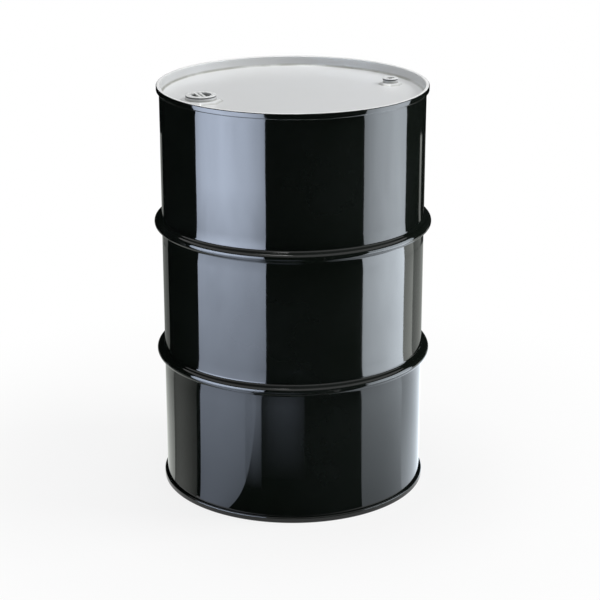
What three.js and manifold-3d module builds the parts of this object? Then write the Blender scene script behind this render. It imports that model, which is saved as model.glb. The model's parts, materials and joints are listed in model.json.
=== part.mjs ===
// A tight-head steel drum of the 55 US gallon size, in millimetres, +Z up.
// The origin is the centre of the plane that the bottom chime stands on.
import * as THREE from "three";
import { ParametricGeometry } from "three/addons/geometries/ParametricGeometry.js";
import { mergeGeometries, mergeVertices } from "three/addons/utils/BufferGeometryUtils.js";
import Module from "manifold-3d";

const wasm = await Module();
wasm.setup();

// Drum
const DRUM_HEIGHT = 889;
const BODY_RADIUS = 283.5; // outside of the plain wall
const BODY_SHEET = 1.2;
const HEAD_SHEET = 1.2;
const FIT_GAP = 0.3; // between faces that touch on the real drum

// Rolling hoops, swaged outwards from the wall
const LOWER_HOOP_HEIGHT = 301; // middle of the lower hoop
const HOOP_SPACING = 290; // middle to middle
const HOOP_RISE = 16; // how far a hoop stands out of the wall
const HOOP_CREST_RADIUS = 9.5; // outside of the crest
const HOOP_ROOT_RADIUS = 6; // outside fillet where the crest leaves the wall

// Double seams, which form the two chimes
const CHIME_HEIGHT = 12.5;
const CHIME_CORNER = 2.4; // outside radius of the two edges of a chime
const SEAM_GAP = 0.8; // between the folded layers
const HOOK_CLEARANCE = 2; // from the body hook's edge to the head's lower fold
const COMPOUND_DEPTH = 0.7; // straight part of the sealing compound below its domed top

// Recessed heads
const TOP_RECESS = 22; // from the chime down to the panel
const BOTTOM_RECESS = 20;
const PANEL_FILLET = 7; // sheet middle, where the panel turns up into the recess wall

// Closures: the levels are heights above the top panel
const SEAT_RISE = 4; // height of the embossed eight-sided seat
const SEAT_DRAFT = 5.3; // how far the seat's corners lean in over that height
const COLLAR_SHEET = 1; // head metal drawn up round a flange's neck
const PLUG_TOP = 14; // top of a plug's rim when it is screwed down
const FLANGE_BASE = 2.6; // thickness of a flange's eight-sided base
const FLANGE_GASKET = 1.2; // thickness
const PLUG_GASKET = 1.6; // thickness
const NECK_FOOT = 0.5; // how far a neck reaches below its base
const NECK_WALL = 1.2; // outside the female thread's root
const THREAD_CLEARANCE = 0.4; // radial, between male and female flanks
const THREAD_LEAD = 0.6; // plain length at each end of a thread
const LIP_CLEARANCE = 0.6; // from the male crest to the collar's lip
const BASE_CLEARANCE = 0.6; // from a flange's base to the seat's side

const FILL = {
  name: "fill",
  wallDistance: 75.4, // from the recess wall to the closure's axis
  azimuth: -158.2,
  threadRadius: 29.807, // G 2: outside radius of the male thread
  threadDepth: 1.479,
  pitch: 2.309,
  seatMargin: 7.493, // from the collar to a corner of the seat's top
  rimOverhang: 2.493, // of the rim beyond the thread
  rimThickness: 1.8,
  skirtLength: 14.7, // below the rim
  skirtWall: 1.8, // inside the male thread's root
  skirtGap: 2.928, // from the skirt's wall to the cup's
  cupDepth: 10,
  cupWall: 1.8,
  segments: 36,
};
const VENT = {
  name: "vent",
  wallDistance: 53.4,
  azimuth: 22.3,
  threadRadius: 13.221, // G 3/4
  threadDepth: 1.162,
  pitch: 1.814,
  seatMargin: 3.579,
  rimOverhang: 3.629,
  rimThickness: 1.8,
  skirtLength: 12.2,
  skirtWall: 1,
  skirtGap: 0.759,
  cupDepth: 8,
  cupWall: 1,
  segments: 24,
};

// Wrench features inside the plugs' cups
const WRENCH_DROP = 1.5; // from the rim down to the top of the bar or lugs
const BAR_WIDTH = 15; // the bar across the fill plug's cup
const BAR_AZIMUTH = 110;
const BAR_GROOVE_WIDTH = 4.4; // the groove pressed along it
const BAR_GROOVE_DEPTH = 2.6;
const BAR_WALL = 1.8;
const LUG_WIDTH = 7.5; // the two lugs in the vent plug's cup
const LUG_SLOT = 6.5; // between them
const RIM_EDGE = 0.5; // bevel of the plugs' rims
const CUT_MARGIN = 1; // how far a cutting shape reaches past the face it cuts

// Facets
const DRUM_SEGMENTS = 36;
const SEAT_SIDES = 8;
const FOLD_STEPS = 4; // facets of a half-turn fold
const CORNER_STEPS = 2;
const FILLET_STEPS = 3;
const CREST_STEPS = 4;
const ROOT_STEPS = 2;

// Finishes
const BLACK_ENAMEL = { color: 0x101413, roughness: 0.18, metalness: 0 };
const WHITE_ENAMEL = { color: 0xd8d9dc, roughness: 0.3, metalness: 0 };
const ZINC = { color: 0xa9adb0, roughness: 0.35, metalness: 1 };
const RUBBER = { color: 0x222222, roughness: 0.8, metalness: 0 };
const COMPOUND = { color: 0x5c6152, roughness: 0.9, metalness: 0 };

const SEAT_FLAT = Math.cos(Math.PI / SEAT_SIDES); // a seat side's distance as a share of its corner's

// Radii of the seam's layers, at the middle of each sheet
const BODY_WALL = BODY_RADIUS - BODY_SHEET / 2;
const HEAD_WALL = BODY_RADIUS - BODY_SHEET - FIT_GAP - HEAD_SHEET / 2;
const HEAD_HOOK = BODY_RADIUS + SEAM_GAP + HEAD_SHEET / 2;
const BODY_HOOK = HEAD_HOOK + HEAD_SHEET / 2 + SEAM_GAP + BODY_SHEET / 2;
const SEAM_FACE = BODY_HOOK + BODY_SHEET / 2 + SEAM_GAP + HEAD_SHEET / 2;

// Heights in the seam, measured from the chime's outer face into the drum (negative)
const BODY_FOLD_RADIUS = (BODY_HOOK - BODY_WALL) / 2;
const BODY_FOLD_LEVEL = -(HEAD_SHEET + FIT_GAP + BODY_FOLD_RADIUS + BODY_SHEET / 2);
const HEAD_FOLD_RADIUS = (SEAM_FACE - HEAD_HOOK) / 2;
const HEAD_FOLD_LEVEL = -(CHIME_HEIGHT - HEAD_FOLD_RADIUS - HEAD_SHEET / 2);
const BODY_HOOK_EDGE = -(CHIME_HEIGHT - HEAD_SHEET - HOOK_CLEARANCE);
const HEAD_HOOK_EDGE = BODY_FOLD_LEVEL - COMPOUND_DEPTH - FIT_GAP;

/** A point of an outline: r from the axis, z along it. */
function at(r, z) {
  return new THREE.Vector2(r, z);
}

/** An arc of a sheet's middle line about (r, z), from one angle to another in degrees. */
function bend(r, z, radius, from, to, steps) {
  return { r, z, radius, from, to, steps };
}

/** The points of an arc, offset to the right of its direction of travel. */
function arcPoints(arc, offset = 0) {
  const radius = arc.radius + Math.sign(arc.to - arc.from) * offset;
  const points = [];
  for (let i = 0; i <= arc.steps; i += 1) {
    const angle = THREE.MathUtils.degToRad(arc.from + ((arc.to - arc.from) * i) / arc.steps);
    points.push(at(arc.r + radius * Math.cos(angle), arc.z + radius * Math.sin(angle)));
  }
  return points;
}

/** One face of a bent sheet, which runs straight from the start through its bends to the end. */
function sheetFace(start, bends, end, offset) {
  const first = arcPoints(bends[0])[0];
  const last = arcPoints(bends[bends.length - 1]).at(-1);
  const side = (from, to) => {
    const along = to.clone().sub(from).normalize();
    return at(along.y, -along.x).multiplyScalar(offset);
  };
  return [
    start.clone().add(side(start, first)),
    ...bends.flatMap((arc) => arcPoints(arc, offset)),
    end.clone().add(side(last, end)),
  ];
}

/** The outline of a bent sheet: up its right face, and back down its left one. */
function sheetOutline(start, bends, end, thickness) {
  const right = sheetFace(start, bends, end, thickness / 2);
  const left = sheetFace(start, bends, end, -thickness / 2);
  return [...right, ...left.reverse()];
}

/** An outline that ends where it starts. */
function closed(outline) {
  return [...outline, outline[0].clone()];
}

/** The same outline upside down, for the bottom of the drum. */
function upsideDown(outline) {
  return outline.map((point) => at(point.x, -point.y)).reverse();
}

/** An outline turned about the Z axis. */
function turned(outline, segments) {
  return new THREE.LatheGeometry(outline, segments).rotateX(Math.PI / 2);
}

/** Positions only, with shared vertices merged and collapsed triangles left out. */
function welded(geometries) {
  const bare = geometries.map((geometry) => {
    const copy = geometry.index ? geometry.toNonIndexed() : geometry.clone();
    copy.deleteAttribute("normal");
    copy.deleteAttribute("uv");
    return copy;
  });
  const merged = mergeVertices(mergeGeometries(bare));
  const corners = merged.index.array;
  const kept = [];
  for (let i = 0; i < corners.length; i += 3) {
    const [a, b, c] = corners.slice(i, i + 3);
    if (a !== b && b !== c && c !== a) kept.push(a, b, c);
  }
  merged.setIndex(kept);
  return merged;
}

/** A closed geometry as a solid for cutting and joining. */
function solid(...geometries) {
  const mesh = welded(geometries);
  return new wasm.Manifold(
    new wasm.Mesh({
      numProp: 3,
      vertProperties: mesh.getAttribute("position").array,
      triVerts: Uint32Array.from(mesh.index.array),
    }),
  );
}

/** A solid back as a geometry. */
function geometryOf(shape) {
  const mesh = shape.getMesh();
  const geometry = new THREE.BufferGeometry();
  geometry.setAttribute("position", new THREE.BufferAttribute(mesh.vertProperties, mesh.numProp));
  geometry.setIndex(new THREE.BufferAttribute(mesh.triVerts, 1));
  geometry.computeVertexNormals();
  return geometry;
}

/** A named piece of the drum. */
function piece(name, geometry, finish) {
  const mesh = new THREE.Mesh(geometry, new THREE.MeshStandardMaterial(finish));
  mesh.name = name;
  return mesh;
}

/**
 * The wall of a right-hand screw thread between two heights, two rows of points to each pitch.
 * It starts and ends on plain rings of the root radius, and runs down when end is below start.
 */
function threadWall({ root, crest, pitch, phase, start, end, segments }) {
  const low = Math.min(start, end);
  const high = Math.max(start, end);
  const first = phase + pitch * (Math.floor((low - phase) / pitch) - 1);
  const rows = 2 * Math.ceil((high - first) / pitch);
  const place = (u, v, target) => {
    const row = Math.round((start < end ? v : 1 - v) * rows);
    const height = first + pitch * (row / 2 + u);
    const outside = height <= low || height >= high;
    const radius = row % 2 === 1 && !outside ? crest : root;
    const angle = u * Math.PI * 2;
    target.set(
      radius * Math.sin(angle),
      THREE.MathUtils.clamp(height, low, high),
      radius * Math.cos(angle),
    );
  };
  return new ParametricGeometry(place, segments, rows).rotateX(Math.PI / 2);
}

// ---- Body ----

/** One rolling hoop of the wall's middle line, on the way up. */
function hoopBends(height) {
  const root = HOOP_ROOT_RADIUS + BODY_SHEET / 2;
  const crest = HOOP_CREST_RADIUS - BODY_SHEET / 2;
  const reach = root + crest;
  const swing = THREE.MathUtils.radToDeg(Math.acos((reach - HOOP_RISE) / reach));
  const half = Math.sqrt(reach ** 2 - (reach - HOOP_RISE) ** 2);
  return [
    bend(BODY_WALL + root, height - half, root, 180, 180 - swing, ROOT_STEPS),
    bend(BODY_WALL + HOOP_RISE - crest, height, crest, -swing, swing, CREST_STEPS),
    bend(BODY_WALL + root, height + half, root, 180 + swing, 180, ROOT_STEPS),
  ];
}

/** The rolled and welded cylinder, with its hoops and the hooks at both ends. */
function bodyShell() {
  const foldCentre = (BODY_WALL + BODY_HOOK) / 2;
  const outline = sheetOutline(
    at(BODY_HOOK, -BODY_HOOK_EDGE),
    [
      bend(foldCentre, -BODY_FOLD_LEVEL, BODY_FOLD_RADIUS, 0, -180, FOLD_STEPS),
      ...hoopBends(LOWER_HOOP_HEIGHT),
      ...hoopBends(LOWER_HOOP_HEIGHT + HOOP_SPACING),
      bend(foldCentre, DRUM_HEIGHT + BODY_FOLD_LEVEL, BODY_FOLD_RADIUS, 180, 0, FOLD_STEPS),
    ],
    at(BODY_HOOK, DRUM_HEIGHT + BODY_HOOK_EDGE),
    BODY_SHEET,
  );
  return turned(closed(outline), DRUM_SEGMENTS);
}

// ---- Heads ----

/** A head with its rim plane at z = 0 and its panel a recess below it. */
function headOutline(recess) {
  const panel = -recess - HEAD_SHEET / 2;
  const corner = CHIME_CORNER - HEAD_SHEET / 2;
  const cornerLevel = -HEAD_SHEET / 2 - corner;
  const foldCentre = (HEAD_HOOK + SEAM_FACE) / 2;
  return sheetOutline(
    at(0, panel),
    [
      bend(HEAD_WALL - PANEL_FILLET, panel + PANEL_FILLET, PANEL_FILLET, -90, 0, FILLET_STEPS),
      bend(HEAD_WALL + corner, cornerLevel, corner, 180, 90, CORNER_STEPS),
      bend(SEAM_FACE - corner, cornerLevel, corner, 90, 0, CORNER_STEPS),
      bend(foldCentre, HEAD_FOLD_LEVEL, HEAD_FOLD_RADIUS, 0, -180, FOLD_STEPS),
    ],
    at(HEAD_HOOK, HEAD_HOOK_EDGE),
    HEAD_SHEET,
  );
}

/** The levels and radii of a closure's parts, with z = 0 on the top panel. */
function closureSizes(closure) {
  const { threadRadius, threadDepth } = closure;
  const flankDepth = threadDepth - THREAD_CLEARANCE;
  const maleCrest = threadRadius - THREAD_CLEARANCE / 2;
  const maleRoot = maleCrest - flankDepth;
  const femaleRoot = maleCrest + THREAD_CLEARANCE;
  const neckRadius = femaleRoot + NECK_WALL;
  const collarInside = neckRadius + FIT_GAP;
  const collarRadius = collarInside + COLLAR_SHEET;
  const seatCorner = collarRadius + closure.seatMargin + SEAT_DRAFT;
  const seatUnder = SEAT_RISE - HEAD_SHEET;
  const lean = (SEAT_DRAFT * SEAT_FLAT) / SEAT_RISE;
  const seatInset = (HEAD_SHEET * Math.tan(Math.atan(1 / lean) / 2)) / SEAT_FLAT;
  const flangeGasketTop = seatUnder - FIT_GAP;
  const baseTop = flangeGasketTop - FLANGE_GASKET - FIT_GAP;
  const skirtInside = maleRoot - closure.skirtWall;
  const centreRadius = HEAD_WALL - closure.wallDistance;
  const azimuth = THREE.MathUtils.degToRad(closure.azimuth);
  const rimUnder = PLUG_TOP - closure.rimThickness;
  const plugGasketTop = rimUnder - FIT_GAP;
  const lipTop = plugGasketTop - PLUG_GASKET - FIT_GAP;
  // Distance of the seat's inner side at a height.
  const seatSide = (z) => (seatCorner - seatInset) * SEAT_FLAT - (z + HEAD_SHEET) * lean;
  return {
    ...closure,
    maleCrest,
    maleRoot,
    femaleRoot,
    femaleCrest: maleRoot + THREAD_CLEARANCE,
    neckRadius,
    collarInside,
    collarRadius,
    seatCorner,
    seatUnder,
    seatInset,
    seatSide,
    flangeGasketTop,
    baseTop,
    rimUnder,
    rimRadius: threadRadius + closure.rimOverhang,
    skirtInside,
    cupRadius: skirtInside - closure.skirtGap - closure.cupWall,
    plugGasketTop,
    lipTop,
    neckTop: lipTop - COLLAR_SHEET - FIT_GAP,
    baseUnder: baseTop - FLANGE_BASE,
    neckUnder: baseTop - FLANGE_BASE - NECK_FOOT,
    lipRadius: maleCrest + LIP_CLEARANCE,
    gasketOutside: seatSide(flangeGasketTop) - FIT_GAP,
    x: centreRadius * Math.cos(azimuth),
    y: centreRadius * Math.sin(azimuth),
  };
}

/** The outside of an embossed seat and its collar, rooted in the panel. */
function seatForm(c) {
  const root = -HEAD_SHEET / 2;
  const seat = [
    at(0, root),
    at(c.seatCorner, root),
    at(c.seatCorner, 0),
    at(c.seatCorner - SEAT_DRAFT, SEAT_RISE),
    at(0, SEAT_RISE),
  ];
  const collar = [
    at(0, 0),
    at(c.collarRadius, 0),
    at(c.collarRadius, c.lipTop),
    at(0, c.lipTop),
  ];
  return solid(turned(seat, SEAT_SIDES)).add(solid(turned(collar, c.segments)));
}

/** The hollow under a seat, up its collar and out through the lip. */
function seatHollow(c) {
  const corner = c.seatCorner - c.seatInset;
  const below = -HEAD_SHEET - CUT_MARGIN;
  const seat = [
    at(0, below),
    at(corner, below),
    at(corner, -HEAD_SHEET),
    at(corner - SEAT_DRAFT, c.seatUnder),
    at(0, c.seatUnder),
  ];
  const neck = [
    at(0, below),
    at(c.collarInside, below),
    at(c.collarInside, c.lipTop - COLLAR_SHEET),
    at(c.lipRadius, c.lipTop - COLLAR_SHEET),
    at(c.lipRadius, c.lipTop + CUT_MARGIN),
    at(0, c.lipTop + CUT_MARGIN),
  ];
  return solid(turned(seat, SEAT_SIDES)).add(solid(turned(neck, c.segments)));
}

/** The top head, with a seat and a collar pressed up round each flange. */
function topHead(closures) {
  let head = solid(turned(headOutline(TOP_RECESS), DRUM_SEGMENTS));
  for (const c of closures) {
    const place = [c.x, c.y, -TOP_RECESS];
    head = head.add(seatForm(c).translate(place)).subtract(seatHollow(c).translate(place));
  }
  return geometryOf(head);
}

/** The plain bottom head, the same way out as it lies in the drum. */
function bottomHead() {
  return turned(upsideDown(headOutline(BOTTOM_RECESS)), DRUM_SEGMENTS);
}

/** Sealing compound inside the body hook's fold, with the rim plane at z = 0. */
function compoundOutline() {
  const foldCentre = (BODY_WALL + BODY_HOOK) / 2;
  const radius = BODY_FOLD_RADIUS - BODY_SHEET / 2 - FIT_GAP;
  const foot = BODY_FOLD_LEVEL - COMPOUND_DEPTH;
  return closed([
    at(foldCentre - radius, foot),
    at(foldCentre + radius, foot),
    ...arcPoints(bend(foldCentre, BODY_FOLD_LEVEL, radius, 0, 180, FOLD_STEPS)),
  ]);
}

// ---- Closures ----

/** A ring of rectangular section. */
function ring(inside, outside, low, high, segments) {
  return turned(
    closed([at(inside, low), at(outside, low), at(outside, high), at(inside, high)]),
    segments,
  );
}

/** A flange: an eight-sided base under the seat, and a neck threaded inside. */
function flange(c) {
  const threadTop = c.neckTop - THREAD_LEAD;
  const threadUnder = c.neckUnder + THREAD_LEAD;
  const outside = [
    at(c.femaleRoot, threadUnder),
    at(c.femaleRoot, c.neckUnder),
    at(c.neckRadius, c.neckUnder),
    at(c.neckRadius, c.neckTop),
    at(c.femaleRoot, c.neckTop),
    at(c.femaleRoot, threadTop),
  ];
  const inside = threadWall({
    root: c.femaleRoot,
    crest: c.femaleCrest,
    pitch: c.pitch,
    phase: c.pitch / 2,
    start: threadTop,
    end: threadUnder,
    segments: c.segments,
  });
  const corner = (c.seatSide(c.baseTop) - BASE_CLEARANCE) / SEAT_FLAT;
  const insideNeckWall = (c.femaleRoot + c.neckRadius) / 2;
  const base = solid(
    turned(
      [at(0, c.baseUnder), at(corner, c.baseUnder), at(corner, c.baseTop), at(0, c.baseTop)],
      SEAT_SIDES,
    ),
  );
  const through = solid(
    turned(
      [
        at(0, c.baseUnder - CUT_MARGIN),
        at(insideNeckWall, c.baseUnder - CUT_MARGIN),
        at(insideNeckWall, c.baseTop + CUT_MARGIN),
        at(0, c.baseTop + CUT_MARGIN),
      ],
      c.segments,
    ),
  );
  const neck = solid(turned(outside, c.segments), inside);
  return geometryOf(base.subtract(through).add(neck));
}

/** A plug's turned body: rim, threaded skirt and open cup, hollow between skirt and cup. */
function plugBody(c) {
  const skirtUnder = c.rimUnder - c.skirtLength;
  const threadTop = c.rimUnder - THREAD_LEAD;
  const threadUnder = skirtUnder + THREAD_LEAD;
  const floor = PLUG_TOP - c.cupDepth;
  const cupOutside = c.cupRadius + c.cupWall;
  const inwards = [
    at(0, floor - c.cupWall),
    at(cupOutside, floor - c.cupWall),
    at(cupOutside, c.rimUnder),
    at(c.skirtInside, c.rimUnder),
    at(c.skirtInside, skirtUnder),
    at(c.maleRoot, skirtUnder),
    at(c.maleRoot, threadUnder),
  ];
  const thread = threadWall({
    root: c.maleRoot,
    crest: c.maleCrest,
    pitch: c.pitch,
    phase: 0,
    start: threadUnder,
    end: threadTop,
    segments: c.segments,
  });
  const upwards = [
    at(c.maleRoot, threadTop),
    at(c.maleRoot, c.rimUnder),
    at(c.rimRadius, c.rimUnder),
    at(c.rimRadius, PLUG_TOP - RIM_EDGE),
    at(c.rimRadius - RIM_EDGE, PLUG_TOP),
    at(c.cupRadius + RIM_EDGE, PLUG_TOP),
    at(c.cupRadius, PLUG_TOP - RIM_EDGE),
    at(c.cupRadius, floor),
    at(0, floor),
  ];
  return solid(turned(inwards, c.segments), thread, turned(upwards, c.segments));
}

/** A bar across the axis, between two heights, turned to an azimuth, its ends cut to a disc. */
function crossBar({ width, low, high, azimuth, radius, segments }) {
  const bar = new THREE.BoxGeometry(2 * (radius + CUT_MARGIN), width, high - low);
  bar.translate(0, 0, (low + high) / 2);
  bar.rotateZ(THREE.MathUtils.degToRad(azimuth));
  const disc = [
    at(0, low - CUT_MARGIN),
    at(radius, low - CUT_MARGIN),
    at(radius, high + CUT_MARGIN),
    at(0, high + CUT_MARGIN),
  ];
  return solid(bar).intersect(solid(turned(disc, segments)));
}

/** The fill plug: a grooved bar across its cup gives a wrench two pockets. */
function fillPlug(c) {
  const floor = PLUG_TOP - c.cupDepth;
  const top = PLUG_TOP - WRENCH_DROP;
  const bar = crossBar({
    width: BAR_WIDTH,
    low: floor - c.cupWall / 2,
    high: top,
    azimuth: BAR_AZIMUTH,
    radius: c.cupRadius + c.cupWall / 2,
    segments: c.segments,
  });
  const groove = crossBar({
    width: BAR_GROOVE_WIDTH,
    low: top - BAR_GROOVE_DEPTH,
    high: top + CUT_MARGIN,
    azimuth: BAR_AZIMUTH,
    radius: c.cupRadius,
    segments: c.segments,
  });
  const hollow = crossBar({
    width: BAR_WIDTH - 2 * BAR_WALL,
    low: floor - c.cupWall - CUT_MARGIN,
    high: top - BAR_GROOVE_DEPTH - BAR_WALL,
    azimuth: BAR_AZIMUTH,
    radius: c.cupRadius - BAR_WALL,
    segments: c.segments,
  });
  return geometryOf(plugBody(c).add(bar.subtract(groove)).subtract(hollow));
}

/** The vent plug: two lugs in its cup leave a slot for the wrench. */
function ventPlug(c) {
  const floor = PLUG_TOP - c.cupDepth;
  const top = PLUG_TOP - WRENCH_DROP;
  const lugs = crossBar({
    width: LUG_WIDTH,
    low: floor - c.cupWall / 2,
    high: top,
    azimuth: 0,
    radius: c.cupRadius + c.cupWall / 2,
    segments: c.segments,
  });
  const slot = crossBar({
    width: LUG_SLOT,
    low: floor,
    high: top + CUT_MARGIN,
    azimuth: 90,
    radius: c.cupRadius,
    segments: c.segments,
  });
  return geometryOf(plugBody(c).add(lugs.subtract(slot)));
}

/** A closure's four pieces, standing on the top panel at its place. */
function closureGroup(c, plugGeometry) {
  const group = new THREE.Group();
  group.position.set(c.x, c.y, DRUM_HEIGHT - TOP_RECESS);
  const flangeGasket = ring(
    c.neckRadius + FIT_GAP,
    c.gasketOutside,
    c.flangeGasketTop - FLANGE_GASKET,
    c.flangeGasketTop,
    c.segments,
  );
  const plugGasket = ring(
    c.maleCrest + FIT_GAP,
    c.rimRadius - FIT_GAP,
    c.plugGasketTop - PLUG_GASKET,
    c.plugGasketTop,
    c.segments,
  );
  group.add(
    piece(c.name + "_flange", flange(c), ZINC),
    piece(c.name + "_flange_gasket", flangeGasket, RUBBER),
    piece(c.name + "_plug", plugGeometry, WHITE_ENAMEL),
    piece(c.name + "_plug_gasket", plugGasket, RUBBER),
  );
  return group;
}

// ---- Assembly ----

const fill = closureSizes(FILL);
const vent = closureSizes(VENT);
const drum = new THREE.Group();

const head = piece("top_head", topHead([fill, vent]), WHITE_ENAMEL);
const topCompound = piece(
  "top_seam_compound",
  turned(compoundOutline(), DRUM_SEGMENTS),
  COMPOUND,
);
head.position.z = DRUM_HEIGHT;
topCompound.position.z = DRUM_HEIGHT;
drum.add(
  piece("body_shell", bodyShell(), BLACK_ENAMEL),
  head,
  topCompound,
  piece("bottom_head", bottomHead(), BLACK_ENAMEL),
  piece("bottom_seam_compound", turned(upsideDown(compoundOutline()), DRUM_SEGMENTS), COMPOUND),
  closureGroup(fill, fillPlug(fill)),
  closureGroup(vent, ventPlug(vent)),
);

export default drum;
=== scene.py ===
"""A tight-head steel drum: seamed body and heads, and two screw closures with their flanges and gaskets."""
import json
import logging
import math
from dataclasses import dataclass
from enum import Enum
from typing import Iterable, Optional, Sequence

import bmesh
import bpy
from mathutils import Matrix, Vector
from mathutils.geometry import delaunay_2d_cdt


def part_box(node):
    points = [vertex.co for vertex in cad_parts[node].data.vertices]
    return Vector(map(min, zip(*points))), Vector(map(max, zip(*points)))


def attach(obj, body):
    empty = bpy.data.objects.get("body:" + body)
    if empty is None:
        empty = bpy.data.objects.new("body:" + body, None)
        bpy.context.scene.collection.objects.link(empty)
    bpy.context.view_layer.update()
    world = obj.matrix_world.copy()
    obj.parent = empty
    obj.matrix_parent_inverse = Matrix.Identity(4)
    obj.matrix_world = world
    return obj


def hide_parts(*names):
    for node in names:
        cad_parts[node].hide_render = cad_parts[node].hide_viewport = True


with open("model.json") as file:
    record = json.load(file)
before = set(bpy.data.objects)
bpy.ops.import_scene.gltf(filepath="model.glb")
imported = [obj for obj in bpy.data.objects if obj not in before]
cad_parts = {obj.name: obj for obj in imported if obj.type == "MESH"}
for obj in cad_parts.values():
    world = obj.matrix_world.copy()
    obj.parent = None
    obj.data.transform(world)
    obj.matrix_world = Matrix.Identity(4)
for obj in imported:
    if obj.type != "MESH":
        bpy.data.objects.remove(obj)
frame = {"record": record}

LOG = logging.getLogger("drum")
MM = 0.001
HALF_SIDE = math.pi / 8  # half of the angle that one of eight sides takes up
FLAT_SHARE = math.cos(HALF_SIDE)  # distance to a side, as a share of the distance to a corner
PANEL_HEIGHT = next(m["pos_m"][2] for m in frame["record"]["mounts"] if m["name"] == "top_panel")

Point = tuple[float, float]
Place = tuple[float, float, float]
Corner = tuple[float, float, float]  # a point of an outline and its rounding radius
Colour = tuple[float, float, float, float]
Ring = list[bmesh.types.BMVert]
BMesh = bmesh.types.BMesh
Material = bpy.types.Material
Mesh = bpy.types.Mesh
Socket = bpy.types.NodeSocket


class Around(Enum):
    """How a ring of points runs round its axis."""

    ROUND = 0
    EIGHT_SIDED = 1


# ---- Outlines ----


@dataclass(frozen=True)
class Bend:
    """An arc of a sheet's middle line, its angles in degrees."""

    r: float
    z: float
    radius: float
    start: float
    end: float
    steps: int

    def points(self, offset: float = 0.0) -> list[Point]:
        """Points of the arc, moved to the right of its direction of travel.

        Args:
            offset: distance to the right, in metres.
        Returns:
            The points, as (r, z).
        """
        radius = self.radius + math.copysign(offset, offset * (self.end - self.start))
        angles = [
            math.radians(self.start + (self.end - self.start) * i / self.steps)
            for i in range(self.steps + 1)
        ]
        return [(self.r + radius * math.cos(a), self.z + radius * math.sin(a)) for a in angles]


def sheet_face(start: Point, bends: Sequence[Bend], end: Point, offset: float) -> list[Point]:
    """One face of a bent sheet.

    Args:
        start: where the middle line starts.
        bends: its arcs, in order.
        end: where it ends.
        offset: distance of the face to the right of the middle line.
    Returns:
        The face's points.
    """

    def moved(origin: Point, a: Point, b: Point) -> Point:
        """A point moved to the right of the direction from a to b.

        Args:
            origin: the point.
            a: where the direction starts.
            b: where it leads.
        Returns:
            The moved point.
        """
        length = math.dist(a, b)
        return (
            origin[0] + offset * (b[1] - a[1]) / length,
            origin[1] - offset * (b[0] - a[0]) / length,
        )

    first, last = bends[0].points()[0], bends[-1].points()[-1]
    middle = [p for bend in bends for p in bend.points(offset)]
    return [moved(start, start, first), *middle, moved(end, last, end)]


def divided(points: Sequence[Point], step: float) -> list[Point]:
    """The same line with its long straight runs cut into equal lengths.

    Args:
        points: the line.
        step: the longest run to leave whole.
    Returns:
        The line with more points.
    """
    line = [points[0]]
    for a, b in zip(points, points[1:]):
        parts = max(1, math.ceil(math.dist(a, b) / step))
        line += [
            (a[0] + (b[0] - a[0]) * i / parts, a[1] + (b[1] - a[1]) * i / parts)
            for i in range(1, parts + 1)
        ]
    return line


def rounded(corners: Sequence[Corner], steps: int = 4, closed: bool = False) -> list[Point]:
    """A line whose corners are rounded.

    Args:
        corners: each corner as (r, z, rounding radius).
        steps: facets of each rounding.
        closed: whether the line runs back to its start.
    Returns:
        The points of the line.
    """
    count = len(corners)
    line: list[Point] = []
    for i, (r, z, radius) in enumerate(corners):
        at_end = not closed and i in (0, count - 1)
        if radius <= 0 or at_end:
            line.append((r, z))
            continue
        here = Vector((r, z))
        back = Vector(corners[i - 1][:2]) - here
        on = Vector(corners[(i + 1) % count][:2]) - here
        half = back.angle(on) / 2
        reach = min(radius / math.tan(half), 0.49 * back.length, 0.49 * on.length)
        turn = reach * math.tan(half)
        back.normalize()
        on.normalize()
        centre = here + (back + on).normalized() * (turn / math.sin(half))
        a, b = here + back * reach - centre, here + on * reach - centre
        sweep = a.angle_signed(b)
        for k in range(steps + 1):
            spin = Matrix.Rotation(-sweep * k / steps, 2)
            line.append(tuple(centre + spin @ a))
    return line


def spread(corner: float, flat: float, rounding: float) -> float:
    """Distance from the centre to an eight-sided outline with rounded corners.

    Args:
        corner: angle of the nearest corner from the ray, in radians.
        flat: distance from the centre to a side.
        rounding: radius of the corners.
    Returns:
        The distance along the ray.
    """
    off_side = HALF_SIDE - corner
    if flat * math.tan(off_side) <= (flat - rounding) * math.tan(HALF_SIDE):
        return flat / math.cos(off_side)
    middle = (flat - rounding) / FLAT_SHARE
    across = middle * math.sin(corner)
    return middle * math.cos(corner) + math.sqrt(max(0.0, rounding**2 - across**2))


# ---- Meshes ----


def mesh_object(name: str, mesh: Mesh) -> bpy.types.Object:
    """Puts a mesh into the scene under a name.

    Args:
        name: its name.
        mesh: the mesh.
    Returns:
        The object that carries it.
    """
    mesh.name = name
    obj = bpy.data.objects.new(name, mesh)
    bpy.context.scene.collection.objects.link(obj)
    return obj


def tidy(mesh: Mesh, sharp_degrees: float = 38.0) -> None:
    """Drops loose and collapsed parts, turns the faces outward and shades them.

    Args:
        mesh: the mesh to change.
        sharp_degrees: edges that bend more than this stay sharp.
    """
    bm = bmesh.new()
    bm.from_mesh(mesh)
    bmesh.ops.dissolve_degenerate(bm, dist=1e-7, edges=bm.edges)
    bmesh.ops.delete(bm, geom=[e for e in bm.edges if not e.link_faces], context="EDGES")
    bmesh.ops.delete(bm, geom=[v for v in bm.verts if not v.link_faces], context="VERTS")
    bmesh.ops.recalc_face_normals(bm, faces=bm.faces)
    bm.to_mesh(mesh)
    bm.free()
    mesh.shade_smooth()
    mesh.set_sharp_from_angle(angle=math.radians(sharp_degrees))


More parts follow.
